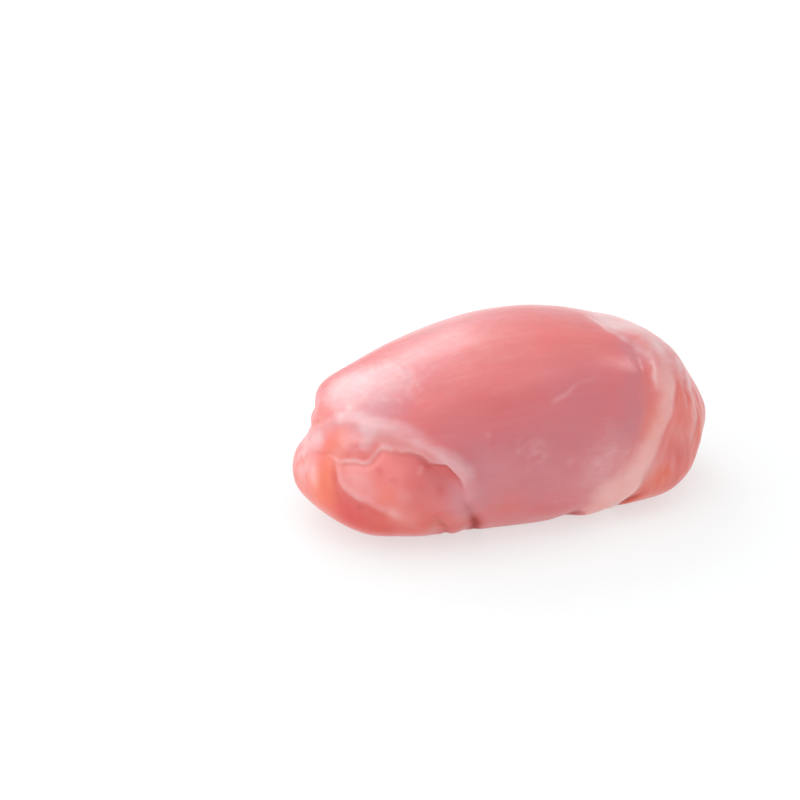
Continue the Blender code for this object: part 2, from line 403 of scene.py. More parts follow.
KNOB_CREASE = Course((
    (-0.90, 0.36, 0.48, 0.4), (-0.93, 0.15, 0.52, 0.7), (-0.94, 0.01, 0.57, 1.0),
    (-0.93, -0.07, 0.61, 1.0), (-0.92, -0.12, 0.63, 0.9), (-0.90, -0.15, 0.66, 0.6),
    (-0.87, -0.15, 0.69, 0.0),
))
WRINKLE_HIGH = Course((
    (-0.87, -0.43, 0.56, 0.0), (-0.84, -0.47, 0.57, 1.0), (-0.81, -0.51, 0.59, 1.0),
    (-0.77, -0.53, 0.60, 0.8), (-0.74, -0.55, 0.61, 0.0),
))
WRINKLE_LOW = Course((
    (-0.88, -0.43, 0.54, 0.0), (-0.86, -0.46, 0.54, 1.0), (-0.83, -0.51, 0.56, 0.8),
    (-0.79, -0.55, 0.57, 0.0),
))
LEFT_FOLD = Course((
    (-0.98, 0.07, 0.40, 0.4), (-0.97, -0.11, 0.45, 0.8), (-0.95, -0.25, 0.49, 1.0),
    (-0.92, -0.34, 0.50, 0.9), (-0.91, -0.39, 0.50, 0.0),
))
AMBER_FOLD = Course((
    (-0.92, -0.31, 0.55, 0.35), (-0.95, -0.30, 0.46, 0.5), (-0.96, -0.33, 0.42, 1.0),
    (-0.96, -0.34, 0.35, 1.0), (-0.96, -0.35, 0.28, 0.8), (-0.93, -0.40, 0.22, 0.0),
))
RED_FOLD = Course((
    (-0.94, -0.36, 0.47, 0.0), (-0.93, -0.39, 0.45, 0.8), (-0.93, -0.42, 0.41, 1.0),
    (-0.93, -0.43, 0.35, 1.0), (-0.92, -0.45, 0.31, 0.8), (-0.89, -0.51, 0.27, 0.0),
))
NOTCH = Course((
    (-0.40, -0.90, 0.33, 0.0), (-0.39, -0.90, 0.29, 0.2), (-0.37, -0.86, 0.23, 0.4),
    (-0.34, -0.79, 0.16, 0.8), (-0.32, -0.74, 0.11, 1.0), (-0.31, -0.69, 0.06, 1.0),
    (-0.29, -0.62, -0.04, 1.0),
))
SMALL_NOTCH = Course((
    (-0.55, -0.85, 0.25, 0.0), (-0.52, -0.84, 0.21, 0.6), (-0.49, -0.80, 0.16, 1.0),
    (-0.47, -0.77, 0.12, 1.0), (-0.44, -0.66, 0.02, 1.0), (-0.43, -0.60, -0.04, 1.0),
))
BUNDLE_EDGE = Course((
    (-0.93, -0.36, 0.48, 0.0), (-0.92, -0.42, 0.45, 0.8), (-0.92, -0.46, 0.41, 1.0),
    (-0.91, -0.49, 0.37, 1.0), (-0.89, -0.54, 0.34, 1.0), (-0.86, -0.59, 0.32, 1.0),
    (-0.83, -0.65, 0.31, 1.0), (-0.80, -0.69, 0.29, 0.9), (-0.77, -0.73, 0.27, 0.9),
    (-0.74, -0.76, 0.26, 0.6), (-0.70, -0.79, 0.24, 0.0),
))
UPPER_FOLD = Course((
    (-0.95, -0.28, 0.50, 0.0), (-0.93, -0.33, 0.49, 0.4), (-0.90, -0.41, 0.48, 0.8),
    (-0.88, -0.44, 0.49, 0.9), (-0.86, -0.48, 0.50, 1.0), (-0.84, -0.52, 0.51, 1.0),
    (-0.81, -0.55, 0.51, 1.0), (-0.79, -0.57, 0.53, 0.9), (-0.76, -0.58, 0.56, 0.8),
    (-0.74, -0.58, 0.58, 0.8), (-0.71, -0.61, 0.58, 0.0),
))
SHEEN_LINE = Course((
    (-0.52, -0.10, 0.92, 0.0), (-0.53, -0.20, 0.90, 0.8), (-0.53, -0.32, 0.88, 1.0),
    (-0.58, -0.43, 0.83, 1.0), (-0.57, -0.49, 0.81, 0.8), (-0.56, -0.56, 0.77, 0.0),
))
BAND_RIGHT = Course((
    (0.36, -0.52, -0.12, 0.0), (0.41, -0.62, 0.02, 1.0), (0.45, -0.72, 0.10, 1.0),
    (0.48, -0.84, 0.21, 1.0), (0.49, -0.86, 0.28, 1.0), (0.52, -0.86, 0.34, 1.0),
    (0.55, -0.84, 0.39, 0.95), (0.60, -0.80, 0.49, 0.85), (0.66, -0.72, 0.57, 0.8),
    (0.68, -0.66, 0.61, 0.75), (0.71, -0.59, 0.65, 0.7), (0.73, -0.52, 0.69, 0.6),
    (0.74, -0.42, 0.74, 0.4), (0.74, -0.25, 0.80, 0.3), (0.72, 0.00, 0.84, 0.3),
    (0.70, 0.32, 0.78, 0.4), (0.69, 0.54, 0.66, 0.7), (0.63, 0.74, 0.46, 0.8),
    (0.55, 0.82, 0.26, 1.0), (0.50, 0.82, 0.06, 1.0), (0.48, 0.70, -0.12, 0.0),
))
BAND_LEFT = Course((
    (0.16, -0.64, -0.12, 1.0), (0.19, -0.76, 0.04, 1.0), (0.22, -0.85, 0.17, 1.0),
    (0.26, -0.87, 0.23, 1.0), (0.32, -0.87, 0.28, 1.0), (0.38, -0.87, 0.33, 1.0),
    (0.44, -0.85, 0.38, 1.0), (0.48, -0.84, 0.43, 1.0), (0.52, -0.82, 0.48, 0.9),
    (0.57, -0.76, 0.58, 0.9), (0.58, -0.72, 0.63, 0.9), (0.59, -0.67, 0.68, 0.9),
    (0.60, -0.62, 0.73, 0.9), (0.61, -0.54, 0.78, 0.8), (0.60, -0.38, 0.84, 0.6),
    (0.59, -0.18, 0.89, 0.4), (0.57, 0.05, 0.91, 0.3), (0.56, 0.34, 0.85, 0.4),
    (0.57, 0.60, 0.70, 0.7), (0.51, 0.80, 0.46, 0.8), (0.42, 0.88, 0.24, 1.0),
    (0.36, 0.86, 0.06, 1.0), (0.34, 0.74, -0.12, 1.0),
))
STRIP = Course((
    (0.60, -0.46, 0.82, 0.0), (0.59, -0.54, 0.79, 0.8), (0.57, -0.62, 0.74, 1.0),
    (0.55, -0.69, 0.68, 0.9), (0.54, -0.74, 0.62, 1.0), (0.52, -0.78, 0.55, 1.0),
    (0.50, -0.82, 0.48, 1.0), (0.47, -0.83, 0.43, 0.8), (0.41, -0.85, 0.37, 0.0),
))
MEMBRANE_EDGE = Course((
    (0.42, 0.20, 0.94, 0.0), (0.45, 0.05, 0.95, 0.8), (0.47, -0.05, 0.95, 1.0),
    (0.47, -0.16, 0.94, 1.0), (0.50, -0.22, 0.92, 0.6), (0.53, -0.30, 0.89, 0.0),
))
STREAK_LINE = Course((
    (0.53, -0.46, 0.85, 0.0), (0.52, -0.57, 0.80, 0.8), (0.50, -0.67, 0.75, 1.0),
    (0.49, -0.73, 0.70, 0.9), (0.48, -0.79, 0.61, 1.0), (0.46, -0.83, 0.52, 0.7),
    (0.40, -0.86, 0.42, 0.0),
))
# a painted highlight streak on the fat band, over a slight ridge
PAINTED_GLINT_STREAK = Course((
    (0.61, -0.47, 0.81, 0.0), (0.61, -0.55, 0.78, 0.9), (0.60, -0.59, 0.75, 1.0),
    (0.60, -0.63, 0.72, 0.7), (0.59, -0.67, 0.68, 0.0),
))
FLAP_CREASE = Course((
    (0.52, -0.80, 0.16, 0.0), (0.47, -0.72, 0.09, 0.8), (0.43, -0.66, 0.04, 1.0),
    (0.40, -0.60, -0.02, 1.0),
))
FLAP_STREAK = Course((
    (0.81, -0.38, 0.68, 0.0), (0.80, -0.45, 0.65, 1.0), (0.78, -0.51, 0.63, 1.0),
    (0.78, -0.55, 0.58, 0.8), (0.77, -0.62, 0.50, 0.0),
))
FLAP_FOLD = Course((
    (0.84, -0.33, 0.67, 0.0), (0.83, -0.40, 0.63, 0.9), (0.82, -0.48, 0.59, 1.0),
    (0.83, -0.51, 0.52, 1.0), (0.83, -0.55, 0.44, 1.0), (0.82, -0.60, 0.40, 0.6),
    (0.78, -0.67, 0.34, 0.0),
))
FLAP_LINE = Course((
    (0.88, -0.25, 0.61, 0.0), (0.88, -0.36, 0.55, 1.0), (0.89, -0.43, 0.49, 0.9),
    (0.88, -0.49, 0.42, 0.6), (0.85, -0.58, 0.33, 0.0),
))
FLAP_DARK = Course((
    (0.85, -0.54, 0.45, 0.0), (0.83, -0.58, 0.42, 1.0), (0.81, -0.61, 0.38, 1.0),
    (0.78, -0.67, 0.35, 0.8), (0.75, -0.72, 0.31, 0.0),
))
FLAP_FOOT = Course((
    (0.42, -0.65, 0.04, 0.7), (0.46, -0.70, 0.07, 1.0), (0.52, -0.75, 0.09, 1.0),
    (0.60, -0.76, 0.09, 0.8), (0.70, -0.73, 0.08, 0.5), (0.80, -0.62, 0.05, 0.3),
))
FLAP_FOLD_FAR = Course((
    (0.86, 0.15, 0.72, 0.4), (0.91, 0.30, 0.52, 1.0), (0.88, 0.42, 0.30, 0.9),
    (0.80, 0.50, 0.10, 0.6),
))
FAR_SEAM = Course((
    (-0.58, 0.90, 0.27, 0.0), (-0.46, 0.94, 0.31, 0.7), (-0.22, 0.98, 0.36, 1.0),
    (0.12, 0.99, 0.36, 1.0), (0.36, 0.94, 0.30, 0.9), (0.50, 0.87, 0.22, 0.0),
))
SCRATCH = Course((
    (0.02, -0.79, 0.76, 0.0), (0.06, -0.77, 0.77, 1.0), (0.11, -0.75, 0.79, 1.0),
    (0.15, -0.72, 0.81, 0.7), (0.19, -0.70, 0.82, 0.2), (0.23, -0.68, 0.83, 0.5),
    (0.26, -0.67, 0.83, 0.3), (0.32, -0.63, 0.85, 0.0),
))
SQUIGGLE_HIGH = Course((
    (-0.16, -0.90, 0.52, 0.0), (-0.15, -0.89, 0.56, 1.0), (-0.12, -0.89, 0.58, 0.6),
    (-0.09, -0.89, 0.59, 1.0), (-0.07, -0.89, 0.57, 0.6), (-0.04, -0.89, 0.59, 1.0),
    (-0.02, -0.90, 0.55, 0.0),
))
SQUIGGLE_RING = Course((
    (-0.11, -0.91, 0.49, 0.0), (-0.10, -0.90, 0.52, 1.0), (-0.06, -0.90, 0.53, 0.8),
    (-0.03, -0.91, 0.51, 1.0), (-0.04, -0.91, 0.48, 0.8), (-0.08, -0.91, 0.47, 1.0),
    (-0.10, -0.91, 0.49, 0.0),
))


@dataclass
class Heel:
    """The end where the flesh folds under itself: a rolled rim and the bundle that shows inside it."""

    crest_rise: float = 0.15 * MM
    lip_reach: float = 0.35 * MM
    crease_depth: float = 0.30 * MM
    crease_width: float = 0.8 * MM
    thread_rise: float = 0.15 * MM
    thread_width: float = 0.5 * MM

    def carve(self, flesh: Surface) -> None:
        """Sharpens the rim's lip, the creases and the threads."""
        flesh.lean(RIM_EDGE, self.lip_reach, 1.0 * MM, -0.3 * MM)
        flesh.lift(RIM_CREST, self.crest_rise, 1.0 * MM)
        flesh.lift(RIM_EDGE, self.thread_rise, self.thread_width, -0.3 * MM)
        flesh.lift(RIM_EDGE, -self.crease_depth, self.crease_width, 0.9 * MM)
        flesh.lift(KNOB_CREASE, -0.45 * MM, 0.8 * MM)
        flesh.swell((-0.90, 0.06, 0.66), 0.25 * MM, 2.4 * MM)
        flesh.lift(WRINKLE_HIGH, -0.28 * MM, 0.45 * MM)
        flesh.lift(WRINKLE_LOW, -0.22 * MM, 0.45 * MM)
        flesh.lift(LEFT_FOLD, -0.25 * MM, 0.6 * MM)
        flesh.lift(RED_FOLD, -0.30 * MM, 0.6 * MM)
        flesh.lift(BUNDLE_EDGE, 0.30 * MM, 0.9 * MM, 0.5 * MM)
        flesh.lift(BUNDLE_EDGE, -self.crease_depth, 0.7 * MM, -0.9 * MM)
        flesh.lift(UPPER_FOLD, self.thread_rise, 0.4 * MM)
        flesh.lift(UPPER_FOLD, -self.crease_depth, self.crease_width, -0.8 * MM)
        flesh.lift(NOTCH, -0.4 * MM, 0.7 * MM)
        flesh.lift(SMALL_NOTCH, -0.4 * MM, 0.7 * MM)
        flesh.lift(SHEEN_LINE, -0.10 * MM, 0.5 * MM)
        flesh.swell((-0.72, -0.58, 0.59), 0.20 * MM, 1.0 * MM)
        flesh.swell((-0.82, -0.25, 0.72), 0.20 * MM, 0.8 * MM)
        flesh.swell((-0.87, -0.26, 0.68), 0.20 * MM, 0.8 * MM)
        flesh.swell((-0.51, -0.83, 0.37), -0.15 * MM, 1.2 * MM)
        flesh.swell((-0.67, -0.80, 0.37), 0.15 * MM, 1.5 * MM)
        bundle = flesh.near((-0.74, -0.60, 0.36), 12 * MM)
        flesh.height += 0.12 * MM * flesh.noise(2.2 * MM, seed=7.3) * bundle

    def dress(self, flesh: Surface) -> None:
        """Lays film and a painted sheen on the rim and top, amber fat at the near corner, deeper red
        inside and painted shade in the notches.
        """
        inside = flesh.read(HEEL_BORDER)
        within = ramp(inside.distance, 1.4 * MM, 4.2 * MM) * flesh.near((-0.88, -0.50, 0.38), 20 * MM)
        flesh.tint(Tone.SALMON, 1.1 * within)
        self.dress_top(flesh)
        self.dress_rim(flesh)
        self.dress_upper(flesh)
        self.dress_inside(flesh)
        self.dress_foot(flesh)
        self.dress_corner(flesh)

    def dress_top(self, flesh: Surface) -> None:
        """The film over the dome's end, above the rim, with a painted sheen laid over it in the film's
        colour.
        """
        streaks = flesh.noise(1.5 * MM, (1.0, 2.5, 1.0), 3.7)
        # painted sheen, streaked, over the film of the heel's top
        sheen_and_film_area = flesh.near((-0.68, -0.15, 0.82), 9 * MM)
        flesh.tint(Tone.FILM_AND_SHEEN, 0.35 * ramp(streaks, 0.05, 0.45) * sheen_and_film_area)
        flesh.tint(Tone.MAUVE, 0.45 * ramp(-streaks, 0.0, 0.45) * sheen_and_film_area)
        flesh.tint_lines(
            (SHEEN_LINE, Tone.THREAD, 0.10, 0.6),
            (SHEEN_LINE, Tone.MAUVE, 0.35, 0.7, -0.9),
        )
        flesh.tint_spots(
            # pale film, brightened into a painted sheen where the light's reflection falls on the heel's
            # top and the dome's end
            (Tone.FILM_AND_SHEEN, 0.62, 5.0, (-0.72, -0.04, 0.81), (-0.82, 0.05, 0.75)),
            (Tone.FILM_AND_SHEEN, 0.45, 4.5, (-0.65, -0.20, 0.84), (-0.78, -0.18, 0.76)),
            (Tone.FILM_AND_SHEEN, 0.32, 4.0, (-0.70, -0.34, 0.78), (-0.59, -0.31, 0.86)),
            (Tone.FILM_AND_SHEEN, 0.26, 9, (-0.46, -0.20, 0.92)),
            (Tone.FILM_AND_SHEEN, 0.15, 9, (-0.36, 0.30, 0.92)),
            (Tone.MAUVE, 0.60, 4.0, (-0.67, -0.50, 0.75), (-0.73, -0.38, 0.76)),
            (Tone.MAUVE, 0.5, 1.0, (-0.84, -0.16, 0.72)),
        )

    def dress_rim(self, flesh: Surface) -> None:
        """The film on the rolled rim, whitest at its upper left where a painted sheen lies on it, with
        painted glints.
        """
        flesh.tint_between(RIM_EDGE, Tone.FILM_AND_SHEEN, 0.30, -3.4 * MM, 0.2 * MM, 0.9 * MM)
        flesh.tint_lines(
            # the rim's film, with a painted sheen along its top
            (RIM_FILM_AND_SHEEN, Tone.FILM_AND_SHEEN, 0.70, 1.5),
            (RIM_EDGE, Tone.THREAD, 0.22, 0.45, -0.2),
        )
        flesh.tint_spots(
            (Tone.FILM_AND_SHEEN, 0.7, 1.8, (-0.76, -0.51, 0.69), (-0.79, -0.47, 0.66)),
            (Tone.FILM_AND_SHEEN, 0.28, 2.2, (-0.93, -0.10, 0.59), (-0.91, -0.18, 0.63), (-0.88, -0.25, 0.67)),
            (Tone.FILM_AND_SHEEN, 0.45, 2.0, (-0.78, -0.50, 0.67), (-0.72, -0.58, 0.67)),
            (Tone.FILM_AND_SHEEN, 0.38, 2.0, (-0.67, -0.66, 0.66), (-0.61, -0.73, 0.62)),
            # painted glints on the wet film over two small bumps
            (Tone.THREAD, 0.35, 1.1, (-0.82, -0.25, 0.72), (-0.87, -0.26, 0.68)),
            (Tone.FILM_AND_SHEEN, 0.30, 2.2, (-0.83, -0.33, 0.71), (-0.80, -0.41, 0.70)),
            (Tone.SALMON, 0.5, 2.2, (-0.67, -0.65, 0.60), (-0.60, -0.74, 0.58)),
        )

    def dress_upper(self, flesh: Surface) -> None:
        """The wrinkled flesh between the rim and the upper fold."""
        flesh.tint_lines(
            (WRINKLE_HIGH, Tone.RED, 0.55, 0.5),
            (WRINKLE_LOW, Tone.RED, 0.45, 0.5),
            (UPPER_FOLD, Tone.THREAD, 0.46, 0.42),
        )
        flesh.tint_spots(
            (Tone.FILM_AND_SHEEN, 0.22, 2.8, (-0.87, -0.37, 0.61), (-0.82, -0.46, 0.61)),
            (Tone.FILM_AND_SHEEN, 0.15, 1.6, (-0.87, -0.41, 0.57), (-0.91, -0.38, 0.52)),
            (Tone.AMBER, 0.30, 2.0, (-0.86, -0.34, 0.63), (-0.89, -0.36, 0.57)),
            (Tone.RED, 0.45, 1.8, (-0.87, -0.45, 0.52), (-0.83, -0.51, 0.54), (-0.80, -0.55, 0.56)),
            (Tone.CREASE, 0.10, 0.6, (-0.90, -0.37, 0.56)),
            (Tone.THREAD, 0.38, 0.6, (-0.71, -0.59, 0.59), (-0.73, -0.58, 0.59), (-0.70, -0.61, 0.58)),
        )
        flesh.tint_ragged((Tone.FILM_AND_SHEEN, 0.35, 2.6, 1.0, (-0.80, -0.49, 0.61)))

    def dress_inside(self, flesh: Surface) -> None:
        """The bundle that shows inside the rim, with painted shade under the rim's lip."""
        flesh.tint_between(BUNDLE_EDGE, Tone.FILM_AND_SHEEN, 0.25, -0.4 * MM, 1.2 * MM, 0.7 * MM)
        flesh.tint_lines(
            # painted shade under the rim's lip
            (RIM_EDGE, Tone.RED, 0.35, 0.7, 0.9),
            (RIM_EDGE, Tone.CREASE, 0.15, 0.5, 0.8),
        )
        flesh.tint_spots(
            (Tone.FILM_AND_SHEEN, 0.20, 3.5, (-0.87, -0.52, 0.43), (-0.83, -0.60, 0.38)),
            (Tone.RED, 0.30, 2.5, (-0.77, -0.66, 0.46), (-0.62, -0.80, 0.40)),
            (Tone.AMBER, 0.45, 2.2, (-0.74, -0.74, 0.36)),
            (Tone.CREASE, 0.20, 0.45, (-0.72, -0.73, 0.44), (-0.70, -0.74, 0.44)),
            (Tone.RED, 0.35, 0.7, (-0.77, -0.64, 0.48), (-0.76, -0.66, 0.47)),
            (Tone.THREAD, 0.20, 0.5, (-0.60, -0.78, 0.48), (-0.59, -0.76, 0.50)),
            (Tone.RED, 0.65, 2.0, (-0.50, -0.81, 0.49), (-0.46, -0.84, 0.46)),
            (Tone.RED, 0.55, 1.4, (-0.51, -0.83, 0.37), (-0.56, -0.76, 0.51)),
            (Tone.FILM_AND_SHEEN, 0.15, 1.8, (-0.67, -0.80, 0.37)),
        )

    def dress_foot(self, flesh: Surface) -> None:
        """The lower strip, the pale bulge beside the notch, and the notches, whose dark red is painted
        shade.
        """
        flesh.tint_lines(
            (BUNDLE_EDGE, Tone.RED, 0.6, 1.1, -1.6),
            # painted shade in the notches, dark red and darkest in their depths
            (NOTCH, Tone.RED, 1.0, 2.2),
            (NOTCH, Tone.CREASE, 0.72, 1.1),
            (SMALL_NOTCH, Tone.RED, 0.85, 1.8),
            (SMALL_NOTCH, Tone.CREASE, 0.20, 0.9),
        )
        flesh.tint_spots(
            (Tone.RED, 0.74, 4.0, (-0.92, -0.47, 0.23), (-0.88, -0.55, 0.21)),
            (Tone.RED, 0.74, 4.0, (-0.82, -0.65, 0.19), (-0.75, -0.72, 0.17)),
            (Tone.CREASE, 0.22, 0.6, (-0.85, -0.60, 0.26)),
            (Tone.FAT, 0.40, 1.6, (-0.72, -0.77, 0.26)),
            (Tone.FAT, 0.18, 1.8, (-0.69, -0.79, 0.24), (-0.64, -0.81, 0.22)),
            (Tone.RED, 0.25, 2.5, (-0.62, -0.80, 0.30), (-0.57, -0.82, 0.20)),
            (Tone.MAUVE, 0.45, 3.5, (-0.42, -0.86, 0.33), (-0.39, -0.84, 0.25)),
            (Tone.FILM_AND_SHEEN, 0.12, 3.0, (-0.42, -0.86, 0.33), (-0.42, -0.84, 0.25)),
            (Tone.RED, 0.38, 2.4, (-0.44, -0.82, 0.16), (-0.39, -0.78, 0.12)),
            (Tone.RED, 0.38, 2.4, (-0.55, -0.78, 0.14), (-0.64, -0.75, 0.13)),
            (Tone.RED, 0.30, 3.0, (-0.81, -0.67, 0.24), (-0.61, -0.82, 0.19), (-0.51, -0.81, 0.17)),
            (Tone.AMBER, 0.25, 4.0, (-0.76, -0.74, 0.20), (-0.61, -0.82, 0.17), (-0.50, -0.80, 0.15)),
        )

    def dress_corner(self, flesh: Surface) -> None:
        """The amber fat of the near corner and the knob above it."""
        flesh.tint_lines(
            (AMBER_FOLD, Tone.AMBER, 0.60, 2.8, 0.4),
            (RED_FOLD, Tone.RED, 0.75, 0.9),
            (LEFT_FOLD, Tone.RED, 0.40, 0.6),
            (KNOB_CREASE, Tone.AMBER, 0.35, 1.2),
            (KNOB_CREASE, Tone.RED, 0.40, 0.6),
        )
        flesh.tint_spots(
            (Tone.AMBER, 0.50, 2.4, (-0.96, -0.33, 0.40), (-0.96, -0.34, 0.33)),
            (Tone.AMBER, 0.45, 3.5, (-0.98, -0.27, 0.29), (-0.93, -0.36, 0.52)),
            (Tone.RED, 0.5, 1.8, (-0.94, -0.38, 0.30), (-0.92, -0.44, 0.31), (-0.96, -0.35, 0.24)),
            (Tone.FAT, 0.40, 1.6, (-0.99, -0.23, 0.38), (-0.99, -0.22, 0.33)),
            (Tone.FILM_AND_SHEEN, 0.30, 2.0, (-0.99, -0.20, 0.40), (-1.00, -0.08, 0.38)),
            (Tone.FILM_AND_SHEEN, 0.40, 2.6, (-0.95, -0.03, 0.49), (-0.94, -0.11, 0.53), (-0.95, 0.15, 0.43)),
            (Tone.SALMON, 0.6, 3.0, (-0.90, 0.05, 0.65)),
            (Tone.AMBER, 0.20, 2.0, (-0.91, -0.06, 0.65)),
            (Tone.AMBER, 0.26, 5.0, (-1.01, -0.12, 0.26), (-1.01, 0.01, 0.34), (-0.98, -0.25, 0.18)),
            (Tone.AMBER, 0.32, 2.6, (-0.98, -0.29, 0.33), (-0.97, -0.32, 0.26), (-0.94, -0.39, 0.22)),
            (Tone.RED, 0.12, 3.0, (-0.93, -0.10, 0.60)),
        )
        flesh.tint_ragged(
            (Tone.FILM_AND_SHEEN, 0.55, 3.4, 1.0, (-0.99, 0.06, 0.40)),
            (Tone.FILM_AND_SHEEN, 0.40, 3.0, 1.0, (-1.01, -0.02, 0.32)),
            (Tone.FILM_AND_SHEEN, 0.40, 2.6, 1.0, (-0.94, -0.12, 0.54)),
        )


@dataclass
class Dome:
    """The smooth top and near side."""

    dent: float = 0.12 * MM
    scratch_depth: float = 0.05 * MM

    def carve(self, flesh: Surface) -> None:
        """Gives the top its soft dents and the faint lines of its film."""
        flesh.height += self.dent * flesh.noise(6 * MM, (2.0, 1.0, 1.0), 3.1)
        marks = flesh.near((-0.05, -0.90, 0.54), 5 * MM)
        flesh.height += 0.07 * MM * flesh.noise(1.4 * MM, seed=4.4) * marks
        film = flesh.near((0.55, -0.35, 0.87), 6 * MM)
        flesh.height += 0.06 * MM * flesh.noise(1.8 * MM, seed=8.2) * film
        flesh.lift(SCRATCH, -self.scratch_depth, 0.5 * MM)
        flesh.lift(STREAK_LINE, 0.10 * MM, 0.8 * MM)

    def dress(self, flesh: Surface) -> None:
        """Lays the cooler tones of the near side, the film's faint marks and a painted highlight along
        the top.
        """
        flesh.tint_lines(
            (SQUIGGLE_HIGH, Tone.THREAD, 0.09, 0.55),
            (SQUIGGLE_RING, Tone.THREAD, 0.07, 0.50),
            (SCRATCH, Tone.THREAD, 0.16, 0.55),
            (STREAK_LINE, Tone.MAUVE, 0.4, 2.2, -1.4),
        )
        flesh.tint_spots(
            (Tone.MAUVE, 0.38, 10, (0.22, -0.66, 0.82), (0.16, -0.84, 0.66)),
            (Tone.MAUVE, 0.50, 13, (0.00, -0.92, 0.42), (-0.26, -0.88, 0.44)),
            (Tone.MAUVE, 0.35, 6, (-0.42, -0.70, 0.66), (-0.36, -0.90, 0.48)),
            (Tone.MAUVE, 0.45, 3.5, (0.43, -0.80, 0.64), (0.38, -0.85, 0.55), (0.46, -0.72, 0.72)),
            (Tone.MAUVE, 0.45, 3.0, (0.50, -0.42, 0.87), (0.55, -0.34, 0.87), (0.57, -0.42, 0.84)),
            (Tone.AMBER, 0.14, 8, (-0.15, -0.30, 0.98), (0.20, -0.30, 0.98)),
            (Tone.AMBER, 0.20, 5, (-0.20, -0.87, 0.24)),
            (Tone.RED, 0.30, 5, (0.00, -0.84, 0.12), (-0.20, -0.82, 0.14)),
            # painted highlight: paler film along the top edge where the light grazes it, and a soft
            # painted sheen over the top
            (Tone.FILM_AND_SHEEN, 0.22, 9, (0.05, 0.32, 0.99), (0.32, 0.25, 0.97), (-0.20, 0.35, 0.95)),
            (Tone.FILM_AND_SHEEN, 0.14, 9, (-0.28, -0.14, 0.98), (-0.10, -0.19, 1.00)),
            (Tone.FILM_AND_SHEEN, 0.22, 5.0, (0.26, -0.90, 0.40), (0.24, -0.89, 0.30), (0.34, -0.88, 0.45)),
            (Tone.FILM_AND_SHEEN, 0.10, 8, (0.02, -0.90, 0.26), (-0.30, -0.88, 0.40)),
            (Tone.THREAD, 0.12, 0.8, (-0.28, -0.84, 0.66), (0.10, -0.91, 0.45), (0.40, -0.86, 0.43)),
            (Tone.RED, 0.25, 0.8, (-0.26, -0.84, 0.66), (-0.26, -0.86, 0.61), (-0.07, -0.91, 0.50)),
        )
        flesh.tint_ragged(
            (Tone.FILM_AND_SHEEN, 0.10, 2.2, 0.6, (0.30, -0.86, 0.59)),
            (Tone.FILM_AND_SHEEN, 0.16, 3.6, 1.0, (-0.09, -0.90, 0.54)),
        )


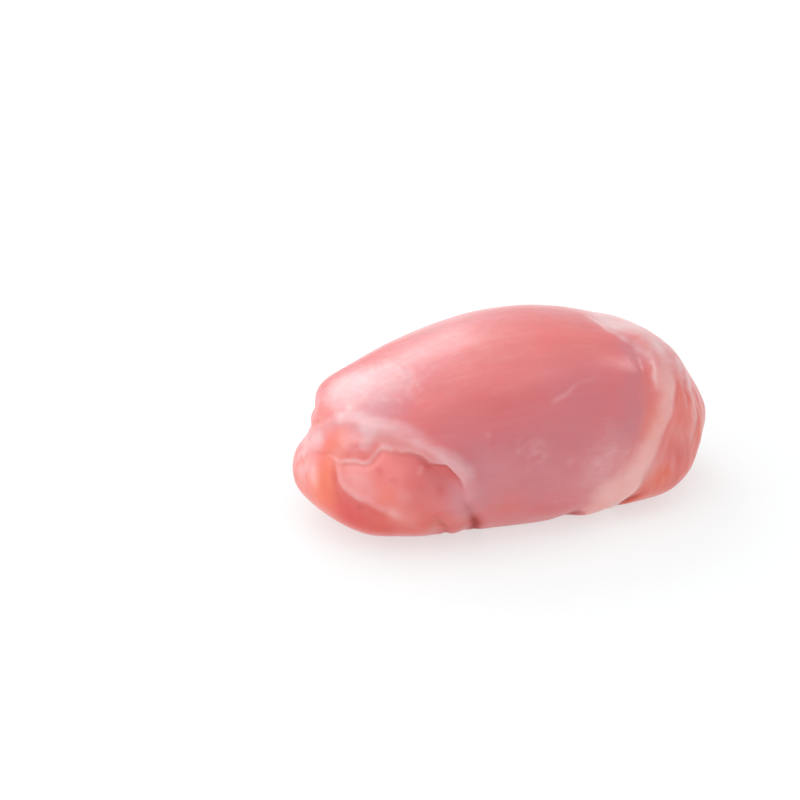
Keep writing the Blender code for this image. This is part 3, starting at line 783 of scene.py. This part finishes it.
@dataclass
class KnuckleEnd:
    """The fat band, and the flap of flesh beyond it."""

    band_rise: float = 0.12 * MM

    def carve(self, flesh: Surface) -> None:
        """Sharpens the band's edges and the flap's folds."""
        flesh.lift(BAND_RIGHT, self.band_rise, 1.4 * MM, 1.6 * MM)
        flesh.lift(BAND_RIGHT, -0.15 * MM, 0.9 * MM, -0.6 * MM)
        flesh.lift(FLAP_CREASE, -0.35 * MM, 0.6 * MM)
        flesh.lift(FLAP_STREAK, -0.22 * MM, 0.7 * MM)
        flesh.lift(FLAP_DARK, -0.25 * MM, 0.6 * MM)
        flesh.lift(FLAP_FOLD, 0.12 * MM, 0.5 * MM)
        flesh.lift(FLAP_LINE, 0.12 * MM, 0.5 * MM)
        flesh.lift(PAINTED_GLINT_STREAK, 0.12 * MM, 0.7 * MM)
        flap = flesh.near((0.82, -0.50, 0.45), 13 * MM)
        flesh.height += 0.14 * MM * self.strands(flesh) * flap
        flesh.height += 0.10 * MM * flesh.noise(2.6 * MM, seed=6.1) * flap

    def end(self, flesh: Surface) -> np.ndarray:
        """1 over the knuckle end and 0 elsewhere and underneath."""
        over = ramp(flesh.places[:, 0], 0.15 * HALF_LENGTH, 0.40 * HALF_LENGTH)
        return over * ramp(flesh.places[:, 2], 0.0, 3 * MM)

    def strands(self, flesh: Surface) -> np.ndarray:
        """The flap's fibres, drawn out upwards."""
        coarse = flesh.noise(2.2 * MM, (1.0, 1.0, 3.0), 1.7)
        return coarse + 0.35 * flesh.noise(1.0 * MM, (1.0, 1.0, 4.0), 9.2)

    def dress(self, flesh: Surface) -> None:
        """Lays the fat, the clear film over the top, the warmer tones of the flap and a painted
        highlight streak on the band.
        """
        beyond = -flesh.read(BAND_RIGHT).distance
        flesh.tint(Tone.SALMON, 0.55 * ramp(beyond, -0.5 * MM, 3 * MM) * self.end(flesh))
        flesh.tint(Tone.FIBRE, 0.7 * ramp(beyond, 0.5 * MM, 4 * MM) * self.end(flesh))
        flesh.tint_region(BAND_RIGHT, BAND_LEFT, Tone.FAT, 0.70, 1.2 * MM, 2.6 * MM)
        self.dress_top(flesh)
        self.dress_flap(flesh)
        flesh.tint_lines(
            (BAND_RIGHT, Tone.FAT, 0.50, 1.6, 2.2),
            (STRIP, Tone.SALMON, 0.48, 2.6),
            # painted highlight along the streak on the band
            (PAINTED_GLINT_STREAK, Tone.THREAD, 0.50, 0.6),
            (MEMBRANE_EDGE, Tone.THREAD, 0.50, 0.6),
        )
        flesh.tint_spots(
            (Tone.FAT, 0.50, 3.5, (0.36, -0.88, 0.18), (0.44, -0.88, 0.26), (0.50, -0.86, 0.34)),
            (Tone.FAT, 0.40, 2.4, (0.29, -0.87, 0.19), (0.32, -0.87, 0.24)),
            (Tone.AMBER, 0.30, 2.0, (0.53, -0.79, 0.54), (0.51, -0.81, 0.48), (0.55, -0.74, 0.60)),
            # painted highlight at the top of the streak
            (Tone.THREAD, 0.30, 1.0, (0.61, -0.49, 0.81)),
        )

    def dress_top(self, flesh: Surface) -> None:
        """The pale film that runs over the top beside the band."""
        flesh.tint_spots(
            (Tone.FILM_AND_SHEEN, 0.80, 3.2, (0.53, 0.12, 0.92), (0.54, 0.02, 0.92), (0.52, -0.08, 0.92)),
            (Tone.FILM_AND_SHEEN, 0.80, 3.2, (0.60, -0.03, 0.89), (0.65, 0.02, 0.87)),
            (Tone.THREAD, 0.30, 2.6, (0.52, 0.06, 0.93), (0.53, -0.06, 0.92), (0.60, -0.02, 0.89)),
            (Tone.FILM_AND_SHEEN, 0.55, 3.0, (0.66, -0.11, 0.87), (0.72, -0.17, 0.83), (0.71, -0.27, 0.80)),
            (Tone.FAT, 0.35, 1.8, (0.66, -0.53, 0.75), (0.66, -0.62, 0.69), (0.63, -0.60, 0.73)),
            (Tone.FILM_AND_SHEEN, 0.70, 6.0, (0.55, 0.28, 0.89)),
            (Tone.THREAD, 0.35, 1.5, (0.71, -0.26, 0.81)),
            (Tone.FILM_AND_SHEEN, 0.45, 1.4, (0.59, -0.36, 0.86), (0.61, -0.42, 0.83), (0.53, -0.27, 0.90)),
            (Tone.RED, 0.35, 1.2, (0.53, -0.33, 0.88), (0.58, -0.40, 0.84), (0.60, -0.25, 0.88)),
        )
        flesh.tint_ragged(
            (Tone.FILM_AND_SHEEN, 0.60, 3.4, 0.7, (0.80, -0.25, 0.72)),
            (Tone.FILM_AND_SHEEN, 0.60, 3.0, 0.5, (0.77, -0.37, 0.73)),
            (Tone.FILM_AND_SHEEN, 0.45, 2.4, 0.5, (0.81, -0.40, 0.66)),
            (Tone.FILM_AND_SHEEN, 0.60, 3.4, 0.7, (0.78, -0.12, 0.78)),
            (Tone.FILM_AND_SHEEN, 0.30, 4.0, 0.7, (0.62, -0.30, 0.85)),
        )

    def dress_flap(self, flesh: Surface) -> None:
        """The warm flesh beyond the band, with its folds, and painted shade in the crease at the band's
        foot.
        """
        strands = self.strands(flesh)
        beyond = ramp(-flesh.read(BAND_RIGHT).distance, 1.0 * MM, 5.0 * MM) * self.end(flesh)
        flesh.tint(Tone.RED, 0.40 * ramp(-strands, 0.0, 0.6) * beyond)
        flesh.tint(Tone.FILM_AND_SHEEN, 0.18 * ramp(strands, 0.15, 0.6) * beyond)
        flesh.tint_lines(
            (FLAP_STREAK, Tone.RED, 0.60, 1.0),
            (FLAP_DARK, Tone.RED, 0.60, 0.8),
            (FLAP_FOLD, Tone.FILM_AND_SHEEN, 0.55, 0.6),
            (FLAP_LINE, Tone.FILM_AND_SHEEN, 0.50, 0.5),
            (FLAP_FOOT, Tone.RED, 0.75, 1.0),
            (FLAP_FOOT, Tone.AMBER, 0.55, 1.8),
            # painted shade in the crease at the band's foot
            (FLAP_CREASE, Tone.RED, 0.8, 1.0),
            (FLAP_CREASE, Tone.CREASE, 0.55, 0.6),
        )
        flesh.tint_spots(
            (Tone.AMBER, 0.25, 4.0, (0.71, -0.66, 0.54), (0.67, -0.74, 0.44), (0.76, -0.52, 0.64)),
            (Tone.AMBER, 0.35, 4.0, (0.60, -0.81, 0.22), (0.54, -0.80, 0.16)),
            (Tone.AMBER, 0.40, 1.8, (0.61, -0.81, 0.26), (0.57, -0.82, 0.23)),
            (Tone.RED, 0.50, 1.2, (0.61, -0.81, 0.25), (0.57, -0.82, 0.22)),
            (Tone.RED, 0.15, 4.5, (0.66, -0.77, 0.18), (0.74, -0.70, 0.20)),
            (Tone.AMBER, 0.30, 4.5, (0.84, -0.58, 0.36), (0.86, -0.53, 0.44), (0.79, -0.67, 0.22)),
            (Tone.RED, 0.50, 2.5, (0.52, -0.80, 0.12), (0.60, -0.78, 0.12), (0.70, -0.70, 0.10)),
        )
        flesh.tint_ragged(
            (Tone.MAUVE, 0.35, 3.0, 0.5, (0.71, -0.74, 0.36)),
            (Tone.RED, 0.30, 5.0, 0.6, (0.78, -0.62, 0.30)),
            (Tone.RED, 0.30, 4.0, 0.5, (0.88, -0.42, 0.36)),
        )


@dataclass
class FarSide:
    """The side away from the eye, finished as the near one is."""

    seam_depth: float = 0.5 * MM

    def carve(self, flesh: Surface) -> None:
        """Sharpens the seam and the far folds."""
        flesh.lift(FAR_SEAM, -self.seam_depth, 0.9 * MM)
        flesh.lift(FLAP_FOLD_FAR, -0.35 * MM, 0.8 * MM)

    def dress(self, flesh: Surface) -> None:
        """Lays film, fat and red as on the near side, and painted shade deep in the seam."""
        flesh.tint_lines(
            (FAR_SEAM, Tone.FAT, 0.45, 1.8, -1.4),
            (FAR_SEAM, Tone.RED, 0.7, 1.4, 0.3),
            # painted shade deep in the seam
            (FAR_SEAM, Tone.CREASE, 0.4, 0.7, 0.2),
        )
        flesh.tint_spots(
            (Tone.RED, 0.5, 12, (-0.10, 0.92, 0.12)),
            (Tone.RED, 0.5, 9, (-0.85, 0.45, 0.22)),
            (Tone.AMBER, 0.5, 4, (-0.92, 0.40, 0.35)),
            (Tone.MAUVE, 0.5, 15, (0.10, 0.95, 0.60)),
        )
        flesh.tint_ragged(
            (Tone.FILM_AND_SHEEN, 0.35, 7, 0.8, (-0.42, 0.88, 0.58)),
            (Tone.FILM_AND_SHEEN, 0.35, 6, 0.8, (0.34, 0.88, 0.52)),
        )


@dataclass
class Underside:
    """Where the flesh presses on what it lies on: a painted shade, deeper in tone towards the contact,
    as a contact shadow.
    """

    # height over which the painted shade deepens towards the floor
    painted_shade_height: float = 5.0 * MM
    # width of the dark painted contact shadow at the very bottom
    line: float = 1.1 * MM

    def carve(self, flesh: Surface) -> None:
        """Leaves the form as it is."""

    def dress(self, flesh: Surface) -> None:
        """Paints shade that deepens towards the edge of contact, as a contact shadow would."""
        height = flesh.places[:, 2]
        # painted shade: redder over the last few millimetres above the floor, and dark along the contact
        flesh.tint(Tone.RED, 0.35 * ramp(-height, -self.painted_shade_height, 0.0))
        flesh.tint(Tone.CREASE, 0.40 * ramp(-height, -self.line, 0.0))
        # painted shadow in a small gap at the near side's foot
        flesh.tint_spots((Tone.CREASE, 0.6, 1.8, (0.17, -0.73, 0.06)))


@dataclass
class ThighFlesh:
    """The whole piece of flesh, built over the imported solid."""

    voxel: float = 0.445 * MM
    smoothings: int = 4
    smoothing: float = 0.5
    last_smoothing: float = 0.4
    lying_flat: float = 0.15 * MM  # below this the flesh touches what it lies on
    regions: tuple = (Heel(), Dome(), KnuckleEnd(), FarSide(), Underside())

    def even_copy(self, node: bpy.types.Object) -> bpy.types.Object:
        """A copy of the solid with its triangles joined, rounded and meshed evenly.

        Args:
            node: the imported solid.

        Returns:
            The new object, with no modifiers left.
        """
        mesh = node.data.copy()
        mesh.materials.clear()
        shape = bmesh.new()
        shape.from_mesh(mesh)
        bmesh.ops.remove_doubles(shape, verts=shape.verts[:], dist=1e-6)
        shape.to_mesh(mesh)
        shape.free()
        piece = bpy.data.objects.new("thigh_flesh", mesh)
        bpy.context.scene.collection.objects.link(piece)
        rounding = piece.modifiers.new("rounding", "SUBSURF")
        rounding.levels = 1
        rounding.render_levels = 1
        even = piece.modifiers.new("even", "REMESH")
        even.mode = "VOXEL"
        even.voxel_size = self.voxel
        bpy.context.view_layer.update()
        graph = bpy.context.evaluated_depsgraph_get()
        piece.data = bpy.data.meshes.new_from_object(piece.evaluated_get(graph))
        piece.modifiers.clear()
        bpy.data.meshes.remove(mesh)
        return piece

    def smooth(self, shape: bmesh.types.BMesh, factor: float) -> None:
        """Draws every point towards its neighbours' middle by a factor."""
        bmesh.ops.smooth_vert(
            shape, verts=shape.verts[:], factor=factor, use_axis_x=True, use_axis_y=True, use_axis_z=True
        )

    def shape_and_tone(self, piece: bpy.types.Object) -> None:
        """Gives the even mesh its fine relief and stores its tones.

        Args:
            piece: the object from even_copy.
        """
        shape = bmesh.new()
        shape.from_mesh(piece.data)
        for _ in range(self.smoothings):
            self.smooth(shape, self.smoothing)
        shape.normal_update()
        flesh = Surface(
            np.array([vert.co for vert in shape.verts]), np.array([vert.normal for vert in shape.verts])
        )
        for region in self.regions:
            region.carve(flesh)
            region.dress(flesh)
            log.info("%s carved and dressed", type(region).__name__)
        places = flesh.places + flesh.height[:, None] * flesh.outward + flesh.slide
        places[:, 2] = np.where(places[:, 2] < self.lying_flat, 0.0, places[:, 2])
        for vert, place in zip(shape.verts, places):
            vert.co = place
        self.smooth(shape, self.last_smoothing)
        mesh = bpy.data.meshes.new("thigh_flesh")
        shape.to_mesh(mesh)
        shape.free()
        mesh.shade_smooth()
        for tone, amount in flesh.tones.items():
            store = mesh.attributes.new(tone.value, "FLOAT", "POINT")
            store.data.foreach_set("value", amount.astype(np.float32))
        band = flesh.read(BAND_RIGHT)
        grain = np.stack((band.distance, band.along, np.zeros(len(places))), axis=1)
        store = mesh.attributes.new("grain", "FLOAT_VECTOR", "POINT")
        store.data.foreach_set("vector", grain.astype(np.float32).ravel())
        piece.data = mesh

    def build(self) -> bpy.types.Object:
        """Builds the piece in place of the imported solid.

        Returns:
            The finished object.
        """
        piece = self.even_copy(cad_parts["thigh"])
        self.shape_and_tone(piece)
        piece.data.materials.append(FleshFinish().material())
        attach(piece, "root")
        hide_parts("thigh")
        log.info("%s: %d faces", piece.name, len(piece.data.polygons))
        return piece


class Value:
    """A socket that gives one number, so that shader sums read as Python."""

    def __init__(self, tree: "NodeTree", socket: bpy.types.NodeSocket) -> None:
        """Wraps a socket.

        Args:
            tree: where its sums are added.
            socket: the output that gives the number.
        """
        self.tree = tree
        self.socket = socket

    def sum(self, operation: str, *others: "Value | float") -> "Value":
        """Adds a Math node.

        Args:
            operation: of the node.
            others: what follows this value.

        Returns:
            The node's result.
        """
        return self.tree.math(operation, self, *others)

    def __add__(self, other: "Value | float") -> "Value":
        """This plus other."""
        return self.sum("ADD", other)

    __radd__ = __add__

    def __sub__(self, other: "Value | float") -> "Value":
        """This less other."""
        return self.sum("SUBTRACT", other)

    def __rsub__(self, other: float) -> "Value":
        """Other less this."""
        return self.tree.math("SUBTRACT", other, self)

    def __mul__(self, other: "Value | float") -> "Value":
        """This times other."""
        return self.sum("MULTIPLY", other)

    __rmul__ = __mul__

    def clamped(self) -> "Value":
        """This kept between 0 and 1."""
        return self.sum("MAXIMUM", 0.0).sum("MINIMUM", 1.0)

    def ramp(self, low: float, high: float) -> "Value":
        """A smooth rise from 0 at low to 1 at high."""
        return Value(
            self.tree,
            self.tree.node(
                "ShaderNodeMapRange",
                {"interpolation_type": "SMOOTHSTEP"},
                {"Value": self, "From Min": low, "From Max": high},
            ).outputs["Result"],
        )


class NodeTree:
    """Adds nodes to one material."""

    def __init__(self, material: bpy.types.Material) -> None:
        """Starts from the material's own nodes.

        Args:
            material: with its nodes in use.
        """
        self.tree = material.node_tree
        self.shader = self.tree.nodes["Principled BSDF"]

    def node(self, kind: str, settings: dict, inputs: dict) -> bpy.types.Node:
        """Adds one node.

        Args:
            kind: the node's type.
            settings: its options, set first.
            inputs: values or links by socket name or number.

        Returns:
            The node.
        """
        made = self.tree.nodes.new(kind)
        for name, value in settings.items():
            setattr(made, name, value)
        for name, value in inputs.items():
            self.feed(made.inputs[name], value)
        return made

    def feed(self, socket: bpy.types.NodeSocket, value: object) -> None:
        """Links a socket, or sets its value.

        Args:
            socket: the input.
            value: a Value, a socket, a colour or a number.
        """
        if isinstance(value, Value):
            self.tree.links.new(value.socket, socket)
        elif isinstance(value, bpy.types.NodeSocket):
            self.tree.links.new(value, socket)
        elif isinstance(value, tuple) and socket.type == "RGBA":
            socket.default_value = (*value, 1.0)
        else:
            socket.default_value = value

    def math(self, operation: str, *terms: "Value | float") -> Value:
        """Adds a Math node.

        Args:
            operation: of the node.
            terms: its values in order.

        Returns:
            Its result.
        """
        made = self.node("ShaderNodeMath", {"operation": operation}, dict(enumerate(terms)))
        return Value(self, made.outputs[0])

    def mix(self, factor: "Value | float", under: object, over: object) -> bpy.types.NodeSocket:
        """Lays one colour over another.

        Args:
            factor: how much of over shows.
            under: a colour or a socket.
            over: a colour or a socket.

        Returns:
            The mixed colour.
        """
        made = self.node("ShaderNodeMix", {"data_type": "RGBA"}, {0: factor, 6: under, 7: over})
        return made.outputs[2]

    def tone(self, tone: Tone) -> Value:
        """The mesh's own value of a tone."""
        made = self.node("ShaderNodeAttribute", {"attribute_name": tone.value}, {})
        return Value(self, made.outputs["Fac"])

    def grain(self) -> bpy.types.NodeSocket:
        """The mesh's own measure across and along the flap's fibres."""
        return self.node("ShaderNodeAttribute", {"attribute_name": "grain"}, {}).outputs["Vector"]

    def ragged(self, tone: Tone, rags: Value) -> Value:
        """A tone whose soft edges are broken up by noise, while its middle stays whole.

        Args:
            tone: of the mesh.
            rags: noise from 0 to 1.

        Returns:
            The broken tone.
        """
        whole = self.tone(tone)
        return (whole + (rags - 0.5) * whole * (1.0 - whole) * 1.6).clamped()

    def coordinates(self) -> bpy.types.NodeSocket:
        """Object coordinates."""
        return self.node("ShaderNodeTexCoord", {}, {}).outputs["Object"]

    def scaled(self, vector: bpy.types.NodeSocket, scale: Place) -> bpy.types.NodeSocket:
        """Stretches a vector.

        Args:
            vector: the coordinates.
            scale: along each axis.

        Returns:
            The new coordinates.
        """
        made = self.node("ShaderNodeVectorMath", {"operation": "MULTIPLY"}, {0: vector, 1: scale})
        return made.outputs[0]

    def noise(
        self, vector: bpy.types.NodeSocket, scale: float, detail: float = 2.0, rough: float = 0.5
    ) -> Value:
        """Soft noise from 0 to 1.

        Args:
            vector: the coordinates.
            scale: lumps per metre.
            detail: octaves.
            rough: how strong the finer octaves are.

        Returns:
            The noise.
        """
        made = self.node(
            "ShaderNodeTexNoise",
            {},
            {"Vector": vector, "Scale": scale, "Detail": detail, "Roughness": rough},
        )
        return Value(self, made.outputs["Fac"])


@dataclass(frozen=True)
class FleshFinish:
    """Wet raw flesh: colours in linear light, gloss and grain, whose sizes are lumps per metre."""

    pink: Colour = (0.71, 0.152, 0.154)
    pink_deep: Colour = (0.61, 0.116, 0.126)
    mauve: Colour = (0.56, 0.190, 0.225)
    salmon: Colour = (0.78, 0.210, 0.195)
    red: Colour = (0.62, 0.072, 0.065)
    amber: Colour = (0.80, 0.172, 0.095)
    fat: Colour = (0.85, 0.49, 0.455)
    # film: the membrane's colour, also used for the painted sheen
    film: Colour = (0.75, 0.51, 0.535)
    # thread: the pale lines' colour, also used for the painted glints and highlights
    thread: Colour = (0.86, 0.64, 0.63)
    # crease: the dark colour of the painted shade in creases, notches and at the contact
    crease: Colour = (0.28, 0.026, 0.022)
    fibre: Colour = (0.76, 0.30, 0.26)
    mottle: float = 150
    gloss_patches: float = 200
    patches: float = 260
    rags: float = 420
    streaks: float = 800
    fibres: float = 900
    fine: float = 900
    pores: float = 1600
    raised_fibres: float = 1000
    raised_streaks: float = 700
    roughness: float = 0.40
    coat: float = 0.30
    coat_roughness: float = 0.22
    refraction: float = 1.40
    softness: float = 0.35
    softness_radius: Colour = (1.0, 0.34, 0.24)
    softness_scale: float = 4 * MM

    def colour(self, tree: NodeTree) -> bpy.types.NodeSocket:
        """The flesh's colour, tone over tone.

        Args:
            tree: the material's nodes.

        Returns:
            The colour.
        """
        here = tree.coordinates()
        mottle = tree.noise(tree.scaled(here, (0.45, 1.0, 1.0)), self.mottle, 3.0)
        colour = tree.mix(mottle.ramp(0.35, 0.75) * 0.55, self.pink, self.pink_deep)
        streaks = tree.noise(tree.scaled(here, (0.13, 1.0, 1.0)), self.streaks, 2.0)
        veil = tree.tone(Tone.FILM_AND_SHEEN) * 0.30 + 0.05
        colour = tree.mix(streaks.ramp(0.45, 0.75) * veil, colour, self.film)
        patchy = tree.noise(here, self.patches, 4.0, 0.6)
        for tone, over, least in (
            (Tone.SALMON, self.salmon, 0.8),
            (Tone.MAUVE, self.mauve, 0.7),
            (Tone.RED, self.red, 0.7),
            (Tone.AMBER, self.amber, 0.6),
        ):
            amount = tree.tone(tone) * (least + (2.0 - 2.0 * least) * patchy)
            colour = tree.mix(amount.clamped(), colour, over)
        strands = tree.noise(tree.scaled(tree.grain(), (1.0, 0.12, 1.0)), self.fibres, 3.0, 0.6)
        colour = tree.mix(tree.tone(Tone.FIBRE) * strands.ramp(0.45, 0.75) * 0.5, colour, self.fibre)
        rags = tree.noise(here, self.rags, 3.0, 0.55)
        # the film, with the painted sheen
        film = tree.ragged(Tone.FILM_AND_SHEEN, rags)
        colour = tree.mix(film * 0.85, colour, self.film)
        fat = tree.ragged(Tone.FAT, rags)
        colour = tree.mix(fat * 0.9, colour, self.fat)
        fine = tree.noise(here, self.fine, 3.0, 0.6)
        # fine pale lines and painted glints
        colour = tree.mix((tree.tone(Tone.THREAD) * (0.6 + 0.8 * fine)).clamped(), colour, self.thread)
        # painted shade in creases, notches, seams and at the contact
        colour = tree.mix(tree.tone(Tone.CREASE), colour, self.crease)
        return colour

    def relief(self, tree: NodeTree) -> bpy.types.NodeSocket:
        """The finest unevenness of the wet surface.

        Args:
            tree: the material's nodes.

        Returns:
            The bumped normal.
        """
        here = tree.coordinates()
        strands = tree.noise(tree.scaled(tree.grain(), (1.0, 0.10, 1.0)), self.raised_fibres, 2.0)
        lengthwise = tree.noise(tree.scaled(here, (0.18, 1.0, 1.0)), self.raised_streaks, 2.0)
        pores = tree.noise(here, self.pores, 2.0)
        height = strands * tree.tone(Tone.FIBRE) * 0.06 + lengthwise * 0.08 + pores * 0.03
        bump = tree.node("ShaderNodeBump", {}, {"Height": height, "Distance": MM, "Strength": 1.0})
        return bump.outputs["Normal"]

    def material(self) -> bpy.types.Material:
        """Builds the material.

        Returns:
            The material.
        """
        made = bpy.data.materials.new("raw_flesh")
        made.use_nodes = True
        tree = NodeTree(made)
        shader = tree.shader
        patchy = tree.noise(tree.coordinates(), self.gloss_patches, 3.0)
        # where the painted crease shade lies, the flesh is rougher and less coated
        crease_shade_amount = tree.tone(Tone.CREASE)
        wet = patchy.ramp(0.3, 0.7) * 0.3 + self.coat
        tree.feed(shader.inputs["Base Color"], self.colour(tree))
        tree.feed(shader.inputs["Roughness"], patchy * 0.12 + crease_shade_amount * 0.45 + (self.roughness - 0.06))
        tree.feed(shader.inputs["Coat Weight"], (wet * (1.0 - crease_shade_amount * 1.3)).clamped())
        tree.feed(shader.inputs["Normal"], self.relief(tree))
        shader.inputs["Subsurface Weight"].default_value = self.softness
        shader.inputs["Subsurface Radius"].default_value = self.softness_radius
        shader.inputs["Subsurface Scale"].default_value = self.softness_scale
        shader.inputs["Coat Roughness"].default_value = self.coat_roughness
        shader.inputs["IOR"].default_value = self.refraction
        return made


@dataclass
class Floor:
    """The plain white surface that the thigh lies on, lit a little from below as a light table is."""

    size: float = 12.0
    colour: Colour = (0.340, 0.36, 0.361)
    roughness: float = 0.6
    gloss: float = 0.2
    glow: float = 0.59

    def build(self) -> bpy.types.Object:
        """Builds the floor.

        Returns:
            The floor.
        """
        shape = bmesh.new()
        bmesh.ops.create_grid(shape, x_segments=2, y_segments=2, size=self.size / 2)
        mesh = bpy.data.meshes.new("floor")
        shape.to_mesh(mesh)
        shape.free()
        floor = bpy.data.objects.new("floor", mesh)
        bpy.context.scene.collection.objects.link(floor)
        finish = bpy.data.materials.new("floor_white")
        finish.use_nodes = True
        shader = finish.node_tree.nodes["Principled BSDF"]
        shader.inputs["Base Color"].default_value = (*self.colour, 1.0)
        shader.inputs["Roughness"].default_value = self.roughness
        shader.inputs["Specular IOR Level"].default_value = self.gloss
        shader.inputs["Emission Color"].default_value = (1.0, 1.0, 1.0, 1.0)
        shader.inputs["Emission Strength"].default_value = self.glow
        mesh.materials.append(finish)
        log.info("floor laid")
        return floor


@dataclass(frozen=True)
class Softbox:
    """One broad soft light.

    Attributes:
        name: of the light.
        direction: from the thigh to the light.
        distance: from the thigh.
        size: the width and height of its face.
        watts: its power.
    """

    name: str
    direction: Place
    distance: float
    size: tuple[float, float]
    watts: float

    def build(self) -> None:
        """Adds the light, turned to the thigh."""
        light = bpy.data.lights.new(self.name, "AREA")
        light.shape = "RECTANGLE"
        light.size, light.size_y = self.size
        light.energy = self.watts
        lamp = bpy.data.objects.new(self.name, light)
        bpy.context.scene.collection.objects.link(lamp)
        way = Vector(self.direction).normalized()
        lamp.location = way * self.distance + Vector((0.0, 0.0, 0.02))
        lamp.rotation_euler = way.to_track_quat("Z", "Y").to_euler()
        log.info("light %s set", self.name)


@dataclass
class Studio:
    """White surroundings and soft lights."""

    surround: float = 0.66
    lights: tuple[Softbox, ...] = (
        Softbox("left_strip", (-0.80, 0.22, 0.55), 0.95, (0.9, 0.5), 2.0),
        Softbox("back_strip", (-0.20, 0.80, 0.60), 0.95, (0.8, 0.5), 3.1),
        Softbox("overhead", (0.0, 0.0, 1.0), 1.0, (1.0, 1.0), 2.4),
        Softbox("right_small", (0.76, 0.12, 0.62), 0.9, (0.25, 0.25), 0.7),
        Softbox("left_wall", (-0.80, -0.42, 0.45), 1.0, (1.2, 0.9), 2.6),
        Softbox("right_fill", (0.85, -0.45, 0.25), 0.9, (0.6, 0.5), 0.15),
    )

    def build(self) -> None:
        """Sets the surroundings and the lights."""
        world = bpy.data.worlds.new("white")
        bpy.context.scene.world = world
        world.use_nodes = True
        ground = world.node_tree.nodes["Background"]
        ground.inputs["Color"].default_value = (1.0, 1.0, 1.0, 1.0)
        ground.inputs["Strength"].default_value = self.surround
        for light in self.lights:
            light.build()
        scene = bpy.context.scene
        scene.view_settings.view_transform = "Standard"
        scene.view_settings.look = "None"


@dataclass
class PhotoCamera:
    """The eye: a long lens, a little left of the near side and above it."""

    azimuth: float = math.radians(-20)
    elevation: float = math.radians(25)
    distance: float = 0.591
    lens: float = 120.0
    sensor: float = 36.0
    target_height: float = 15.5 * MM
    aside: float = -23.03 * MM
    above: float = 5.92 * MM

    def build(self) -> bpy.types.Object:
        """Adds the camera.

        Returns:
            The camera's object.
        """
        turn, rise = self.azimuth, self.elevation
        back = Vector(
            (math.sin(turn) * math.cos(rise), -math.cos(turn) * math.cos(rise), math.sin(rise))
        )
        right = Vector((math.cos(turn), math.sin(turn), 0.0))
        up = back.cross(right)
        aim = Vector((*MIDDLE, self.target_height)) + right * self.aside + up * self.above
        data = bpy.data.cameras.new("eye")
        data.lens = self.lens
        data.sensor_width = self.sensor
        data.clip_start = 0.01
        camera = bpy.data.objects.new("eye", data)
        camera.location = aim + back * self.distance
        camera.rotation_euler = back.to_track_quat("Z", "Y").to_euler()
        bpy.context.scene.collection.objects.link(camera)
        bpy.context.scene.camera = camera
        log.info("camera set")
        return camera


def main() -> None:
    """Builds the thigh, the floor, the light and the camera."""
    logging.basicConfig(level=logging.INFO, format="%(message)s")
    PhotoCamera().build()
    ThighFlesh().build()
    Floor().build()
    Studio().build()


if __name__ == "__main__":
    main()
